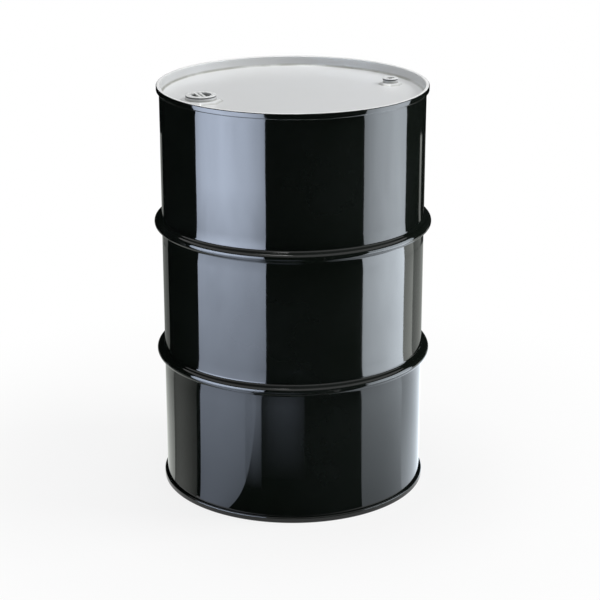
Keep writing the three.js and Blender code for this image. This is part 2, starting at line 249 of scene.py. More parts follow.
@dataclass
class Loft:
    """Rings of points about one upright axis, to lay a skin over."""

    count: int
    centre: Vector
    bm: BMesh

    def ring(
        self,
        distance: float,
        z: float,
        around: Around = Around.ROUND,
        rounding: float = 0.0,
        lining: float = 0.0,
    ) -> Ring:
        """Adds one ring of points.

        Args:
            distance: radius, or the distance to a side of an eight-sided ring.
            z: height above the axis's origin.
            around: the ring's form.
            rounding: corner radius of an eight-sided ring.
            lining: 1 on the lacquered inside of the drum.
        Returns:
            The ring's vertices.
        """
        verts = []
        layer = self.bm.verts.layers.float["lining"]
        for i in range(self.count):
            angle = 2 * math.pi * i / self.count
            reach = distance
            if around is Around.EIGHT_SIDED:
                nearest = abs((angle + HALF_SIDE) % (2 * HALF_SIDE) - HALF_SIDE)
                reach = spread(nearest, distance, rounding)
            place = Vector((reach * math.cos(angle), reach * math.sin(angle), z))
            vert = self.bm.verts.new(self.centre + place)
            vert[layer] = lining
            verts.append(vert)
        return verts


def bridge(bm: BMesh, rings: Sequence[Ring], closed: bool = False) -> None:
    """Joins rings in order with four-sided faces.

    Args:
        bm: the mesh that holds the rings.
        rings: the rings.
        closed: whether the last ring joins the first.
    """
    pairs = list(zip(rings, rings[1:]))
    if closed:
        pairs.append((rings[-1], rings[0]))
    for low, high in pairs:
        for i in range(len(low)):
            j = (i + 1) % len(low)
            bm.faces.new((low[i], low[j], high[j], high[i]))


def fresh() -> BMesh:
    """An empty mesh with room for the lining's marks and for the marks of painted shade in the creases.

    Returns:
        The empty mesh.
    """
    bm = bmesh.new()
    bm.verts.layers.float.new("lining")
    bm.verts.layers.float.new("crease")
    return bm


def ended(bm: BMesh, name: str) -> Mesh:
    """Ends the work on a mesh and hands it over.

    Args:
        bm: the mesh under construction, which is used up.
        name: name of the result.
    Returns:
        The finished mesh.
    """
    mesh = bpy.data.meshes.new(name)
    bm.to_mesh(mesh)
    bm.free()
    return mesh


def fill_between(
    bm: BMesh,
    outer: Ring,
    holes: Sequence[Ring],
    spacing: float,
) -> None:
    """Fills a flat sheet between an outer ring and the rings of its holes.

    Args:
        bm: the mesh that holds the rings, all at one height.
        outer: the outer ring.
        holes: the rings of the holes.
        spacing: distance between the points laid inside the sheet.
    """
    height = outer[0].co.z
    known = [v for ring in (outer, *holes) for v in ring]
    flat = [v.co.to_2d() for v in known]
    edges, start = [], 0
    for ring in (outer, *holes):
        edges += [(start + i, start + (i + 1) % len(ring)) for i in range(len(ring))]
        start += len(ring)
    centres = [sum((v.co.to_2d() for v in ring), Vector((0, 0))) / len(ring) for ring in holes]
    reaches = [max((v.co.to_2d() - c).length for v in ring) for ring, c in zip(holes, centres)]
    limit = outer[0].co.to_2d().length - spacing
    steps = int(limit / spacing)
    for i in range(-steps, steps + 1):
        for k in range(-steps, steps + 1):
            p = Vector(((i + 0.5 * (k % 2)) * spacing, k * spacing))
            clear = all((p - c).length > reach + spacing / 2 for c, reach in zip(centres, reaches))
            if p.length < limit and clear:
                flat.append(p)
    points, _, faces, origin, _, _ = delaunay_2d_cdt(flat, edges, [], 0, 1e-9)
    layer = bm.verts.layers.float["lining"]
    verts = []
    for i, p in enumerate(points):
        if origin[i] and origin[i][0] < len(known):
            verts.append(known[origin[i][0]])
        else:
            verts.append(bm.verts.new((*p, height)))
            verts[-1][layer] = outer[0][layer]
    inside = [set(ring) for ring in holes]
    for face in faces:
        corners = [verts[i] for i in face]
        if not any(all(v in ring for v in corners) for ring in inside):
            bm.faces.new(corners)


def joined(name: str, meshes: Iterable[Mesh]) -> Mesh:
    """Several meshes as one.

    Args:
        name: name of the result.
        meshes: the meshes, which are used up.
    Returns:
        The joined mesh.
    """
    bm = bmesh.new()
    for mesh in meshes:
        bm.from_mesh(mesh)
        bpy.data.meshes.remove(mesh)
    return ended(bm, name)


# ---- Node trees ----


class Tree:
    """A node tree under construction."""

    def __init__(self, tree: bpy.types.NodeTree) -> None:
        """Takes the tree to build in."""
        self.tree = tree

    def put(self, target: Socket, value: object) -> None:
        """Links a socket to an input, or sets the input.

        Args:
            target: the input.
            value: a socket to link or a value.
        """
        if isinstance(value, Socket):
            self.tree.links.new(value, target)
        else:
            target.default_value = value

    def node(self, kind: str, sockets: Optional[dict] = None, **settings: object) -> bpy.types.Node:
        """Adds a node.

        Args:
            kind: the node's type.
            sockets: input names or numbers, each with a value or a socket to link.
            settings: attributes of the node.
        Returns:
            The node.
        """
        node = self.tree.nodes.new(kind)
        for key, value in settings.items():
            setattr(node, key, value)
        for key, value in (sockets or {}).items():
            self.put(node.inputs[key], value)
        return node

    def math(self, operation: str, *terms: object) -> Socket:
        """A calculation on numbers or sockets."""
        return self.node("ShaderNodeMath", dict(enumerate(terms)), operation=operation).outputs[0]

    def vector(self, x: object, y: object, z: object) -> Socket:
        """A vector of three numbers or sockets."""
        return self.node("ShaderNodeCombineXYZ", {"X": x, "Y": y, "Z": z}).outputs[0]

    def vector_math(self, operation: str, *terms: object) -> bpy.types.Node:
        """A calculation on vectors."""
        return self.node("ShaderNodeVectorMath", dict(enumerate(terms)), operation=operation)


class MeshTree(Tree):
    """A geometry node tree, and the way to run it."""

    def __init__(self, name: str, inputs: Sequence[tuple[str, str]]) -> None:
        """Starts a tree.

        Args:
            name: name of the tree.
            inputs: each named input besides the material, and its kind.
        """
        super().__init__(bpy.data.node_groups.new(name, "GeometryNodeTree"))
        new_socket = self.tree.interface.new_socket
        new_socket(name="Geometry", in_out="INPUT", socket_type="NodeSocketGeometry")
        new_socket(name="Geometry", in_out="OUTPUT", socket_type="NodeSocketGeometry")
        self.identifiers = {
            label: new_socket(name=label, in_out="INPUT", socket_type="NodeSocket" + kind).identifier
            for label, kind in (*inputs, ("Material", "Material"))
        }
        self.given = self.tree.nodes.new("NodeGroupInput").outputs
        self.result = self.tree.nodes.new("NodeGroupOutput").inputs

    def whole(self, operation: str, *terms: object) -> Socket:
        """A calculation on whole numbers."""
        return self.node("FunctionNodeIntegerMath", dict(enumerate(terms)), operation=operation).outputs[0]

    def end(self, geometry: Socket) -> None:
        """Ends the tree in real geometry that carries its material.

        Args:
            geometry: the finished geometry.
        """
        real = self.node("GeometryNodeRealizeInstances", {"Geometry": geometry}).outputs[0]
        sockets = {"Geometry": real, "Material": self.given["Material"]}
        self.put(self.result["Geometry"], self.node("GeometryNodeSetMaterial", sockets).outputs[0])

    def run(self, name: str, start: Mesh, values: dict[str, object]) -> Mesh:
        """Runs the tree on a mesh and keeps the result as a plain mesh.

        Args:
            name: name of the result.
            start: the mesh that goes in, which is used up.
            values: a value for each named input.
        Returns:
            The plain mesh.
        """
        holder = mesh_object(name + "_start", start)
        modifier = holder.modifiers.new("Build", "NODES")
        modifier.node_group = self.tree
        for label, value in values.items():
            modifier[self.identifiers[label]] = value
        graph = bpy.context.evaluated_depsgraph_get()
        graph.update()
        result = bpy.data.meshes.new_from_object(holder.evaluated_get(graph))
        holder.modifiers.remove(modifier)
        bpy.data.objects.remove(holder)
        bpy.data.meshes.remove(start)
        return result


def path_mesh(name: str, places: Sequence[Place]) -> Mesh:
    """A path as a mesh of edges.

    Args:
        name: name of the mesh.
        places: the path's points.
    Returns:
        The mesh.
    """
    mesh = bpy.data.meshes.new(name)
    mesh.from_pydata(places, [(i, i + 1) for i in range(len(places) - 1)], [])
    return mesh


def line_mesh(name: str, points: Sequence[Point], values: dict[str, Sequence[float]]) -> Mesh:
    """An outline as a mesh of edges, standing in the XZ plane.

    Args:
        name: name of the mesh.
        points: the outline's points.
        values: a number for each point under each attribute name.
    Returns:
        The mesh.
    """
    mesh = path_mesh(name, [(r, 0.0, z) for r, z in points])
    for label, numbers in values.items():
        mesh.attributes.new(label, "FLOAT", "POINT").data.foreach_set("value", list(numbers))
    return mesh


class TurnedSheet(MeshTree):
    """Turns a closed outline about the Z axis, with a faint unevenness where the sheet gives."""

    waves: float = 2.1  # scale of the unevenness
    height_scale: float = 3.5  # brings heights to the measure of the circle round the axis
    seed: float = 3.0
    merge: float = 0.002 * MM

    def __init__(self) -> None:
        """Builds the tree."""
        super().__init__(
            "Turned sheet",
            [
                ("Segments", "Int"),
                ("Unevenness", "Float"),
                ("Unevenness Scale", "Float"),
                ("Seed", "Float"),
                ("Centre", "Vector"),
            ],
        )
        given = self.given
        size = self.node("GeometryNodeAttributeDomainSize", {"Geometry": given["Geometry"]})
        points = size.outputs["Point Count"]
        columns = self.whole("ADD", given["Segments"], 1)
        grid_size = {"Vertices X": self.whole("ADD", points, 1), "Vertices Y": columns}
        grid = self.node("GeometryNodeMeshGrid", grid_size)
        index = self.node("GeometryNodeInputIndex").outputs[0]
        row = self.whole("MODULO", self.whole("DIVIDE", index, columns), points)
        column = self.whole("MODULO", self.whole("MODULO", index, columns), given["Segments"])
        place = self.sampled(self.node("GeometryNodeInputPosition").outputs[0], row, "FLOAT_VECTOR")
        parts = self.node("ShaderNodeSeparateXYZ", {0: place}).outputs
        angle = self.math("MULTIPLY", self.math("DIVIDE", column, given["Segments"]), 2 * math.pi)
        cosine, sine = self.math("COSINE", angle), self.math("SINE", angle)
        sockets = {
            "Vector": self.vector(cosine, sine, self.math("MULTIPLY", parts["Z"], self.height_scale)),
            "W": given["Seed"],
            "Scale": given["Unevenness Scale"],
            "Detail": 1.0,
        }
        noise = self.node("ShaderNodeTexNoise", sockets, noise_dimensions="4D").outputs[0]
        give = self.sampled(self.attribute("give"), row, "FLOAT")
        sunk = self.math("MULTIPLY", self.math("MULTIPLY", noise, given["Unevenness"]), give)
        radius = self.math("SUBTRACT", parts["X"], sunk)
        x, y = self.math("MULTIPLY", radius, cosine), self.math("MULTIPLY", radius, sine)
        target = self.vector_math("ADD", self.vector(x, y, parts["Z"]), given["Centre"]).outputs[0]
        placed = self.node("GeometryNodeSetPosition", {"Geometry": grid.outputs[0], "Position": target})
        sockets = {
            "Geometry": placed.outputs[0],
            "Name": "lining",
            "Value": self.sampled(self.attribute("lining"), row, "FLOAT"),
        }
        marked = self.node("GeometryNodeStoreNamedAttribute", sockets, data_type="FLOAT", domain="POINT")
        sockets = {"Geometry": marked.outputs[0], "Distance": self.merge}
        self.end(self.node("GeometryNodeMergeByDistance", sockets).outputs[0])

    def attribute(self, name: str) -> Socket:
        """A number stored on the outline."""
        node = self.node("GeometryNodeInputNamedAttribute", {"Name": name}, data_type="FLOAT")
        return node.outputs["Attribute"]

    def sampled(self, value: Socket, row: Socket, kind: str) -> Socket:
        """A value of the outline at the row's point."""
        sockets = {"Geometry": self.given["Geometry"], "Value": value, "Index": row}
        return self.node("GeometryNodeSampleIndex", sockets, data_type=kind, domain="POINT").outputs[0]

    def turn(
        self,
        name: str,
        outline: Sequence[Point],
        material: Material,
        segments: int,
        centre: Sequence[float] = (0.0, 0.0, 0.0),
        unevenness: float = 0.0,
        **marks: Sequence[float],
    ) -> Mesh:
        """Turns one outline.

        Args:
            name: name of the result.
            outline: its points, as (r, z).
            material: its finish.
            segments: how many facets run round.
            centre: where the axis stands.
            unevenness: how far the sheet may sink, at most.
            marks: numbers for the points under "lining" and "give", 0 where not given.
        Returns:
            The turned piece.
        """
        none = {"lining": [0.0] * len(outline), "give": [0.0] * len(outline)}
        values = {
            "Segments": segments,
            "Unevenness": unevenness,
            "Unevenness Scale": self.waves,
            "Seed": self.seed,
            "Centre": tuple(centre),
            "Material": material,
        }
        return self.run(name, line_mesh(name + "_line", outline, none | marks), values)


class ThreadRidge(MeshTree):
    """The ridge of a right-hand screw thread, swept along its helix and run out at both ends."""

    facets: int = 12  # round the ridge's section
    run_out: float = 0.3  # turns over which an end swells to its full size
    end_share: float = 0.15  # share of the size that is left at the very end

    def __init__(self) -> None:
        """Builds the tree."""
        super().__init__(
            "Thread ridge",
            [
                ("Radius", "Float"),
                ("Depth", "Float"),
                ("Pitch", "Float"),
                ("Width", "Float"),
                ("Turns", "Float"),
                ("Steps Per Turn", "Int"),
                ("Start", "Vector"),
            ],
        )
        given = self.given
        helix = self.node(
            "GeometryNodeCurveSpiral",
            {
                "Resolution": given["Steps Per Turn"],
                "Rotations": given["Turns"],
                "Start Radius": given["Radius"],
                "End Radius": given["Radius"],
                "Height": self.math("MULTIPLY", given["Turns"], given["Pitch"]),
                "Reverse": True,  # right-handed
            },
        )
        upright = self.node("GeometryNodeSetCurveNormal", {"Curve": helix.outputs[0]})
        upright.mode = "Z_UP"
        circle = {"Resolution": self.facets, "Radius": 1.0}
        section = self.node("GeometryNodeCurvePrimitiveCircle", circle).outputs[0]
        squashed = {"Geometry": section, "Scale": self.vector(given["Depth"], given["Width"], 1.0)}
        flattened = self.node("GeometryNodeTransform", squashed).outputs[0]
        factor = self.node("GeometryNodeSplineParameter").outputs["Factor"]
        along = self.math("MULTIPLY", factor, given["Turns"])
        from_end = self.math("MINIMUM", along, self.math("SUBTRACT", given["Turns"], along))
        limits = {"Value": from_end, 1: 0.0, 2: self.run_out, 3: self.end_share, 4: 1.0}
        swelling = self.node("ShaderNodeMapRange", limits, interpolation_type="SMOOTHSTEP").outputs[0]
        sockets = {
            "Curve": upright.outputs[0],
            "Profile Curve": flattened,
            "Scale": swelling,
            "Fill Caps": True,
        }
        swept = self.node("GeometryNodeCurveToMesh", sockets).outputs[0]
        placing = {"Geometry": swept, "Translation": given["Start"]}
        self.end(self.node("GeometryNodeTransform", placing).outputs[0])


class WeldBead(MeshTree):
    """The overlapping nuggets of a seam weld along a line on the wall."""

    overlap: float = 0.8  # half of a nugget's length, as a share of the spacing
    least: float = 0.85  # a nugget's width varies between these
    most: float = 1.15
    segments: int = 10
    rings: int = 6

    def __init__(self) -> None:
        """Builds the tree."""
        super().__init__(
            "Weld bead",
            [
                ("Spacing", "Float"),
                ("Width", "Float"),
                ("Rise", "Float"),
                ("Across", "Vector"),
                ("Seed", "Int"),
            ],
        )
        given = self.given
        line = self.node("GeometryNodeMeshToCurve", {0: given["Geometry"]})
        stations = self.node("GeometryNodeResampleCurve", {"Curve": line.outputs[0]}, mode="LENGTH")
        self.put(stations.inputs["Length"], given["Spacing"])
        tangent = self.node("GeometryNodeInputTangent").outputs[0]
        along = self.node("FunctionNodeAlignRotationToVector", {"Vector": tangent}, axis="Z").outputs[0]
        sockets = {"Rotation": along, "Vector": given["Across"]}
        across = self.node("FunctionNodeAlignRotationToVector", sockets, axis="Y", pivot_axis="Z")
        sockets = {2: self.least, 3: self.most, "Seed": given["Seed"]}
        vary = self.node("FunctionNodeRandomValue", sockets, data_type="FLOAT").outputs[1]
        ball = {"Segments": self.segments, "Rings": self.rings, "Radius": 1.0}
        nugget = self.node("GeometryNodeMeshUVSphere", ball).outputs[0]
        size = self.vector(
            given["Rise"],
            self.math("MULTIPLY", given["Width"], vary),
            self.math("MULTIPLY", given["Spacing"], self.overlap),
        )
        sockets = {
            "Points": stations.outputs[0],
            "Instance": nugget,
            "Rotation": across.outputs[0],
            "Scale": size,
        }
        self.end(self.node("GeometryNodeInstanceOnPoints", sockets).outputs[0])


# ---- Finishes ----


class Shade(Tree):
    """A material's node tree."""

    def __init__(self, name: str) -> None:
        """Starts a material.

        Args:
            name: name of the material.
        """
        self.material = bpy.data.materials.new(name)
        self.material.use_nodes = True
        super().__init__(self.material.node_tree)
        self.shader = self.tree.nodes["Principled BSDF"]
        self.place = self.node("ShaderNodeTexCoord").outputs["Object"]

    def noise(
        self, scale: float, detail: float = 3.0, stretch: Place = (1.0, 1.0, 1.0), twist: float = 0.0
    ) -> Socket:
        """Soft random values over the object.

        Args:
            scale: how many spots to a metre, about.
            detail: finer layers on top.
            stretch: scale of each axis.
            twist: angle about the Y axis that the stretch is turned by.
        Returns:
            The value, from 0 to 1.
        """
        sockets = {"Vector": self.place, "Scale": stretch, "Rotation": (0.0, twist, 0.0)}
        laid = self.node("ShaderNodeMapping", sockets)
        sockets = {"Vector": laid.outputs[0], "Scale": scale, "Detail": detail, "Roughness": 0.55}
        return self.node("ShaderNodeTexNoise", sockets).outputs["Fac"]

    def step(self, value: object, low: float, high: float) -> Socket:
        """A smooth rise from 0 to 1 between two values."""
        sockets = {"Value": value, 1: low, 2: high, 3: 0.0, 4: 1.0}
        return self.node("ShaderNodeMapRange", sockets, interpolation_type="SMOOTHSTEP").outputs[0]

    def blend(self, factor: object, first: object, second: object) -> Socket:
        """A colour between two colours.

        Args:
            factor: share of the second colour.
            first: one colour.
            second: the other one.
        Returns:
            The blend.
        """
        node = self.node("ShaderNodeMix", {0: factor}, data_type="RGBA")
        self.put(node.inputs[6], first)
        self.put(node.inputs[7], second)
        return node.outputs[2]

    def between(self, factor: object, first: object, second: object) -> Socket:
        """A number between two numbers.

        Args:
            factor: share of the second number.
            first: one number.
            second: the other one.
        Returns:
            The number between.
        """
        node = self.node("ShaderNodeMix", {0: factor}, data_type="FLOAT")
        self.put(node.inputs[2], first)
        self.put(node.inputs[3], second)
        return node.outputs[0]

    def radius(self) -> Socket:
        """Distance from the drum's axis."""
        flat = self.vector_math("MULTIPLY", self.place, (1.0, 1.0, 0.0)).outputs[0]
        return self.vector_math("LENGTH", flat).outputs["Value"]

    def height(self) -> Socket:
        """Height above the floor."""
        return self.node("ShaderNodeSeparateXYZ", {0: self.place}).outputs["Z"]

    def mark(self, name: str) -> Socket:
        """A number stored on the piece."""
        return self.node("ShaderNodeAttribute", attribute_name=name).outputs["Fac"]

    def most(self, *terms: object) -> Socket:
        """The greatest of several numbers.

        Args:
            terms: the numbers or sockets.
        Returns:
            The greatest.
        """
        result = terms[0]
        for term in terms[1:]:
            result = self.math("MAXIMUM", result, term)
        return result

    def product(self, *terms: object) -> Socket:
        """Several numbers multiplied.

        Args:
            terms: the numbers or sockets.
        Returns:
            The product.
        """
        result = terms[0]
        for term in terms[1:]:
            result = self.math("MULTIPLY", result, term)
        return result

    def scratches(self, amount: float) -> Socket:
        """Thin scattered scratches in several directions, from 0 to 1.

        Args:
            amount: share of the surface where scratches show.
        Returns:
            The mask.
        """
        marks = []
        for scale, twist, patch in ((7.0, 0.5, 4.0), (9.0, -0.9, 6.5), (6.0, 1.4, 5.0)):
            streak = self.noise(scale, 1.0, (70.0, 70.0, 1.6), twist)
            thin = self.step(self.math("ABSOLUTE", self.math("SUBTRACT", streak, 0.5)), 0.006, 0.001)
            where = self.step(self.noise(patch, 2.0), 1.0 - amount, 1.08 - amount)
            marks.append(self.product(thin, where))
        return self.most(*marks)

    def specks(self, scale: float, size: float) -> Socket:
        """Small scattered specks, from 0 to 1."""
        cells = self.node("ShaderNodeTexVoronoi", {"Vector": self.place, "Scale": scale})
        return self.step(cells.outputs["Distance"], size, size * 0.5)

    def bump(self, height: Socket, depth: float, strength: float = 1.0) -> None:
        """Raises the surface's normals by a height of 0 to 1 times a depth in metres."""
        sockets = {"Height": height, "Distance": depth, "Strength": strength}
        self.put(self.shader.inputs["Normal"], self.node("ShaderNodeBump", sockets).outputs[0])

    def surface(self, shader: Socket) -> None:
        """Makes another shader than the usual one the material's surface."""
        self.put(self.tree.nodes["Material Output"].inputs["Surface"], shader)

    def finish(self, **sockets: object) -> Material:
        """Sets or links the shader's inputs, spaces in their names written as _.

        Args:
            sockets: a value or a socket under each input.
        Returns:
            The material.
        """
        for key, value in sockets.items():
            self.put(self.shader.inputs[key.replace("_", " ")], value)
        return self.material


def rgb(red: float, green: float, blue: float) -> Colour:
    """A colour as Blender takes it."""
    return (red, green, blue, 1.0)


@dataclass(frozen=True)
class Lacquer:
    """The lacquered steel of a painted sheet's far side, where the lining is marked."""

    colour: Colour = rgb(0.36, 0.33, 0.27)
    roughness: float = 0.42
    metal: float = 0.6

    def behind(self, s: Shade, paint: Socket, rough: Socket, ior: float) -> Material:
        """Ends a paint's material with the lacquer on the far side.

        Args:
            s: the material under construction.
            paint: the paint's colour.
            rough: its roughness.
            ior: its index of refraction.
        Returns:
            The material.
        """
        lining = s.mark("lining")
        return s.finish(
            Base_Color=s.blend(lining, paint, self.colour),
            Roughness=s.between(lining, rough, self.roughness),
            Metallic=s.product(lining, self.metal),
            IOR=ior,
        )


@dataclass(frozen=True)
class BlackEnamel:
    """Gloss black stoved enamel over steel, with the lacquered inside of the sheet."""

    dark: Colour = rgb(0.0075, 0.0104, 0.0082)
    hazy: Colour = rgb(0.0112, 0.0145, 0.0130)
    worn: Colour = rgb(0.10, 0.105, 0.105)
    crest: float = 298.6 * MM  # rub marks start here on the hoops
    crest_fade: float = 0.8 * MM
    scuffs: float = 0.33
    peel_depth: float = 0.018 * MM
    ior: float = 1.45
    name: str = "black_enamel"

    def material(self) -> Material:
        """Builds the material.

        Returns:
            The material.
        """
        s = Shade(self.name)
        haze = s.step(s.noise(4.5, 5.0), 0.35, 0.72)
        scratch = s.scratches(self.scuffs)
        on_crest = s.step(s.radius(), self.crest, self.crest + self.crest_fade)
        rub = s.product(on_crest, s.step(s.noise(34.0, 4.0), 0.55, 0.68))
        dust = s.product(s.specks(210.0, 0.12), s.step(s.noise(9.0, 2.0), 0.5, 0.7))
        wear = s.most(s.product(scratch, 0.35), s.product(rub, 0.5), s.product(dust, 0.25))
        enamel = s.blend(wear, s.blend(haze, self.dark, self.hazy), self.worn)
        smear = s.step(s.noise(2.6, 4.0, (1.0, 1.0, 0.45)), 0.3, 0.8)
        rough = s.math("ADD", s.between(smear, 0.035, 0.085), s.product(wear, 0.5))
        peel = s.math("ADD", s.product(s.noise(260.0, 2.0), 0.75), s.product(scratch, -0.6))
        s.bump(peel, self.peel_depth, 0.6)
        return Lacquer().behind(s, enamel, rough, self.ior)


@dataclass(frozen=True)
class WhiteEnamel:
    """White enamel on the top head, sprayed up to the chime's outer edge, over the black."""

    clean: Colour = rgb(0.70, 0.71, 0.725)
    shaded: Colour = rgb(0.62, 0.632, 0.63)
    rim_highlight_white: Colour = rgb(0.84, 0.85, 0.85)
    # painted shade in the panel's corner and creases, and also the colour of the dust specks
    shade_and_dust_colour: Colour = rgb(0.20, 0.20, 0.165)
    black: Colour = rgb(0.0078, 0.0104, 0.0086)
    rim: float = 281.5 * MM  # painted highlight: the white is lighter and unmottled from here on, over the chime
    rim_fade: float = 2.0 * MM
    edge: float = 288.1 * MM  # where the white ends on the chime
    edge_fade: float = 0.15 * MM
    edge_wobble: float = 0.5 * MM
    corner: float = 274.0 * MM  # painted shade darkens the paint from here to the recess wall
    corner_fade: float = 4.4 * MM
    corner_high: float = 873.5 * MM  # and deepens from this height down to the next
    corner_low: float = 869.0 * MM
    peel_depth: float = 0.02 * MM
    ior: float = 1.47
    name: str = "white_enamel"

    def material(self) -> Material:
        """Builds the material.

        Returns:
            The material.
        """
        s = Shade(self.name)
        mottle = s.noise(5.0, 2.0)
        wobble = s.product(s.math("SUBTRACT", s.noise(60.0, 2.0), 0.5), self.edge_wobble)
        outside = s.step(s.math("ADD", s.radius(), wobble), self.edge, self.edge + self.edge_fade)
        # painted shade in the corner where the panel meets the recess wall, broken up by noise
        corner_shade = s.product(
            s.step(s.radius(), self.corner, self.corner + self.corner_fade),
            s.step(s.height(), self.corner_high, self.corner_low),
            s.between(s.step(s.noise(14.0, 4.0), 0.35, 0.6), 0.45, 1.0),
        )
        # painted shade along the marked creases at the seats' feet and round the collars
        crease = s.product(s.mark("crease"), s.between(s.noise(90.0, 3.0), 0.45, 1.0))
        dust = s.product(s.specks(160.0, 0.10), s.step(s.noise(7.0, 2.0), 0.5, 0.62))
        # painted shade and real dust specks share one darker colour
        shade_and_specks = s.most(s.product(corner_shade, 0.75), s.product(dust, 0.2), s.product(crease, 0.85))
        # painted highlight over the chime's top: a lighter, even white
        rim = s.step(s.radius(), self.rim, self.rim + self.rim_fade)
        coat = s.blend(rim, s.blend(mottle, self.clean, self.shaded), self.rim_highlight_white)
        paint = s.blend(outside, s.blend(shade_and_specks, coat, self.shade_and_dust_colour), self.black)
        rough = s.between(outside, s.between(mottle, 0.2, 0.3), 0.06)
        s.bump(s.noise(230.0, 1.0), self.peel_depth, 0.4)
        return Lacquer().behind(s, paint, rough, self.ior)


@dataclass(frozen=True)
class PlugEnamel:
    """White enamel on the plugs, thinner in random patches."""

    clean: Colour = rgb(0.74, 0.755, 0.755)
    thin: Colour = rgb(0.56, 0.57, 0.57)
    # painted shade in the wrench cup, and also the colour of the dirt specks
    shade_and_dirt_colour: Colour = rgb(0.055, 0.056, 0.050)
    cup_top: float = 878.6 * MM  # heights at which the cup's painted shade starts, sets in and is darkest
    cup_middle: float = 876.9 * MM
    cup_bottom: float = 873.0 * MM
    unshaded_from: float = 870.8 * MM  # and below which the painted shade stops
    unshaded_to: float = 870.0 * MM
    peel_depth: float = 0.03 * MM
    ior: float = 1.47
    name: str = "plug_enamel"

    def material(self) -> Material:
        """Builds the material.

        Returns:
            The material.
        """
        s = Shade(self.name)
        patches = s.step(s.noise(60.0, 4.0), 0.45, 0.75)
        specks = s.product(s.specks(420.0, 0.14), s.step(s.noise(40.0, 2.0), 0.45, 0.65))
        # painted shade down in the wrench cup, from just under the rim to the lower height; the plug is
        # clear below
        upper = s.step(s.height(), self.cup_top, self.cup_middle)
        sunk = s.between(upper, s.step(s.height(), self.cup_middle, self.cup_bottom), 0.7)
        above = s.math("SUBTRACT", 1.0, s.step(s.height(), self.unshaded_from, self.unshaded_to))
        # painted shade in the cup and real dirt specks share one dark colour
        shade_and_specks = s.most(s.product(specks, 0.4), s.product(sunk, above, 0.92))
        colour = s.blend(shade_and_specks, s.blend(patches, self.clean, self.thin), self.shade_and_dirt_colour)
        s.bump(s.noise(420.0, 2.0), self.peel_depth, 0.5)
        return s.finish(Base_Color=colour, Roughness=s.between(patches, 0.24, 0.4), IOR=self.ior)


@dataclass(frozen=True)
class ZincPlate:
    """Bright zinc plating with a faint passivated tint."""

    bright: Colour = rgb(0.66, 0.67, 0.67)
    tinted: Colour = rgb(0.60, 0.58, 0.50)
    grain_depth: float = 0.02 * MM
    name: str = "zinc_plate"

    def material(self) -> Material:
        """Builds the material.

        Returns:
            The material.
        """
        s = Shade(self.name)
        bloom = s.step(s.noise(55.0, 5.0), 0.35, 0.7)
        s.bump(s.noise(900.0, 2.0), self.grain_depth, 0.5)
        return s.finish(
            Base_Color=s.blend(bloom, self.bright, self.tinted),
            Roughness=s.between(bloom, 0.28, 0.42),
            Metallic=1.0,
        )


@dataclass(frozen=True)
class Rubber:
    """Moulded rubber or rolled-in compound."""

    name: str
    body: Colour
    bloomed: Colour
    roughness: float
    bloom_roughness: float = 0.12  # added where it has bloomed
    grain_depth: float = 0.05 * MM

    def material(self) -> Material:
        """Builds the material.

        Returns:
            The material.
        """
        s = Shade(self.name)
        bloom = s.step(s.noise(120.0, 4.0), 0.4, 0.8)
        s.bump(s.noise(700.0, 3.0), self.grain_depth, 0.6)
        return s.finish(
            Base_Color=s.blend(bloom, self.body, self.bloomed),
            Roughness=s.between(bloom, self.roughness, self.roughness + self.bloom_roughness),
        )


# ---- Body and heads ----


@dataclass(frozen=True)
class Seam:
    """The layers of the double seam that joins each head to the body."""

    wall: float = 283.5 * MM  # outside of the plain wall
    sheet: float = 1.2 * MM
    fit: float = 0.3 * MM
    gap: float = 0.8 * MM
    chime: float = 12.5 * MM  # height of the seam
    corner: float = 2.4 * MM
    hook_clearance: float = 2.0 * MM
    compound_depth: float = 0.7 * MM

    @property
    def body_wall(self) -> float:
        """Middle of the wall's sheet."""
        return self.wall - self.sheet / 2

    @property
    def head_wall(self) -> float:
        """Middle of the recess wall's sheet."""
        return self.wall - self.sheet * 1.5 - self.fit

    @property
    def head_hook(self) -> float:
        """Middle of the head's hook."""
        return self.wall + self.gap + self.sheet / 2

    @property
    def body_hook(self) -> float:
        """Middle of the body's hook."""
        return self.head_hook + self.gap + self.sheet

    @property
    def face(self) -> float:
        """Middle of the seam's outermost layer."""
        return self.body_hook + self.gap + self.sheet

    @property
    def body_fold(self) -> Bend:
        """The fold at the body's upper end, with the rim plane at z = 0.

        Returns:
            The arc of the fold.
        """
        radius = (self.body_hook - self.body_wall) / 2
        level = -(self.sheet * 1.5 + self.fit + radius)
        return Bend((self.body_hook + self.body_wall) / 2, level, radius, 180, 0, 12)

    @property
    def body_hook_edge(self) -> float:
        """Where the body's hook ends, below the rim plane."""
        return -(self.chime - self.sheet - self.hook_clearance)

    @property
    def head_hook_edge(self) -> float:
        """Where the head's hook ends, below the rim plane."""
        return self.body_fold.z - self.compound_depth - self.fit


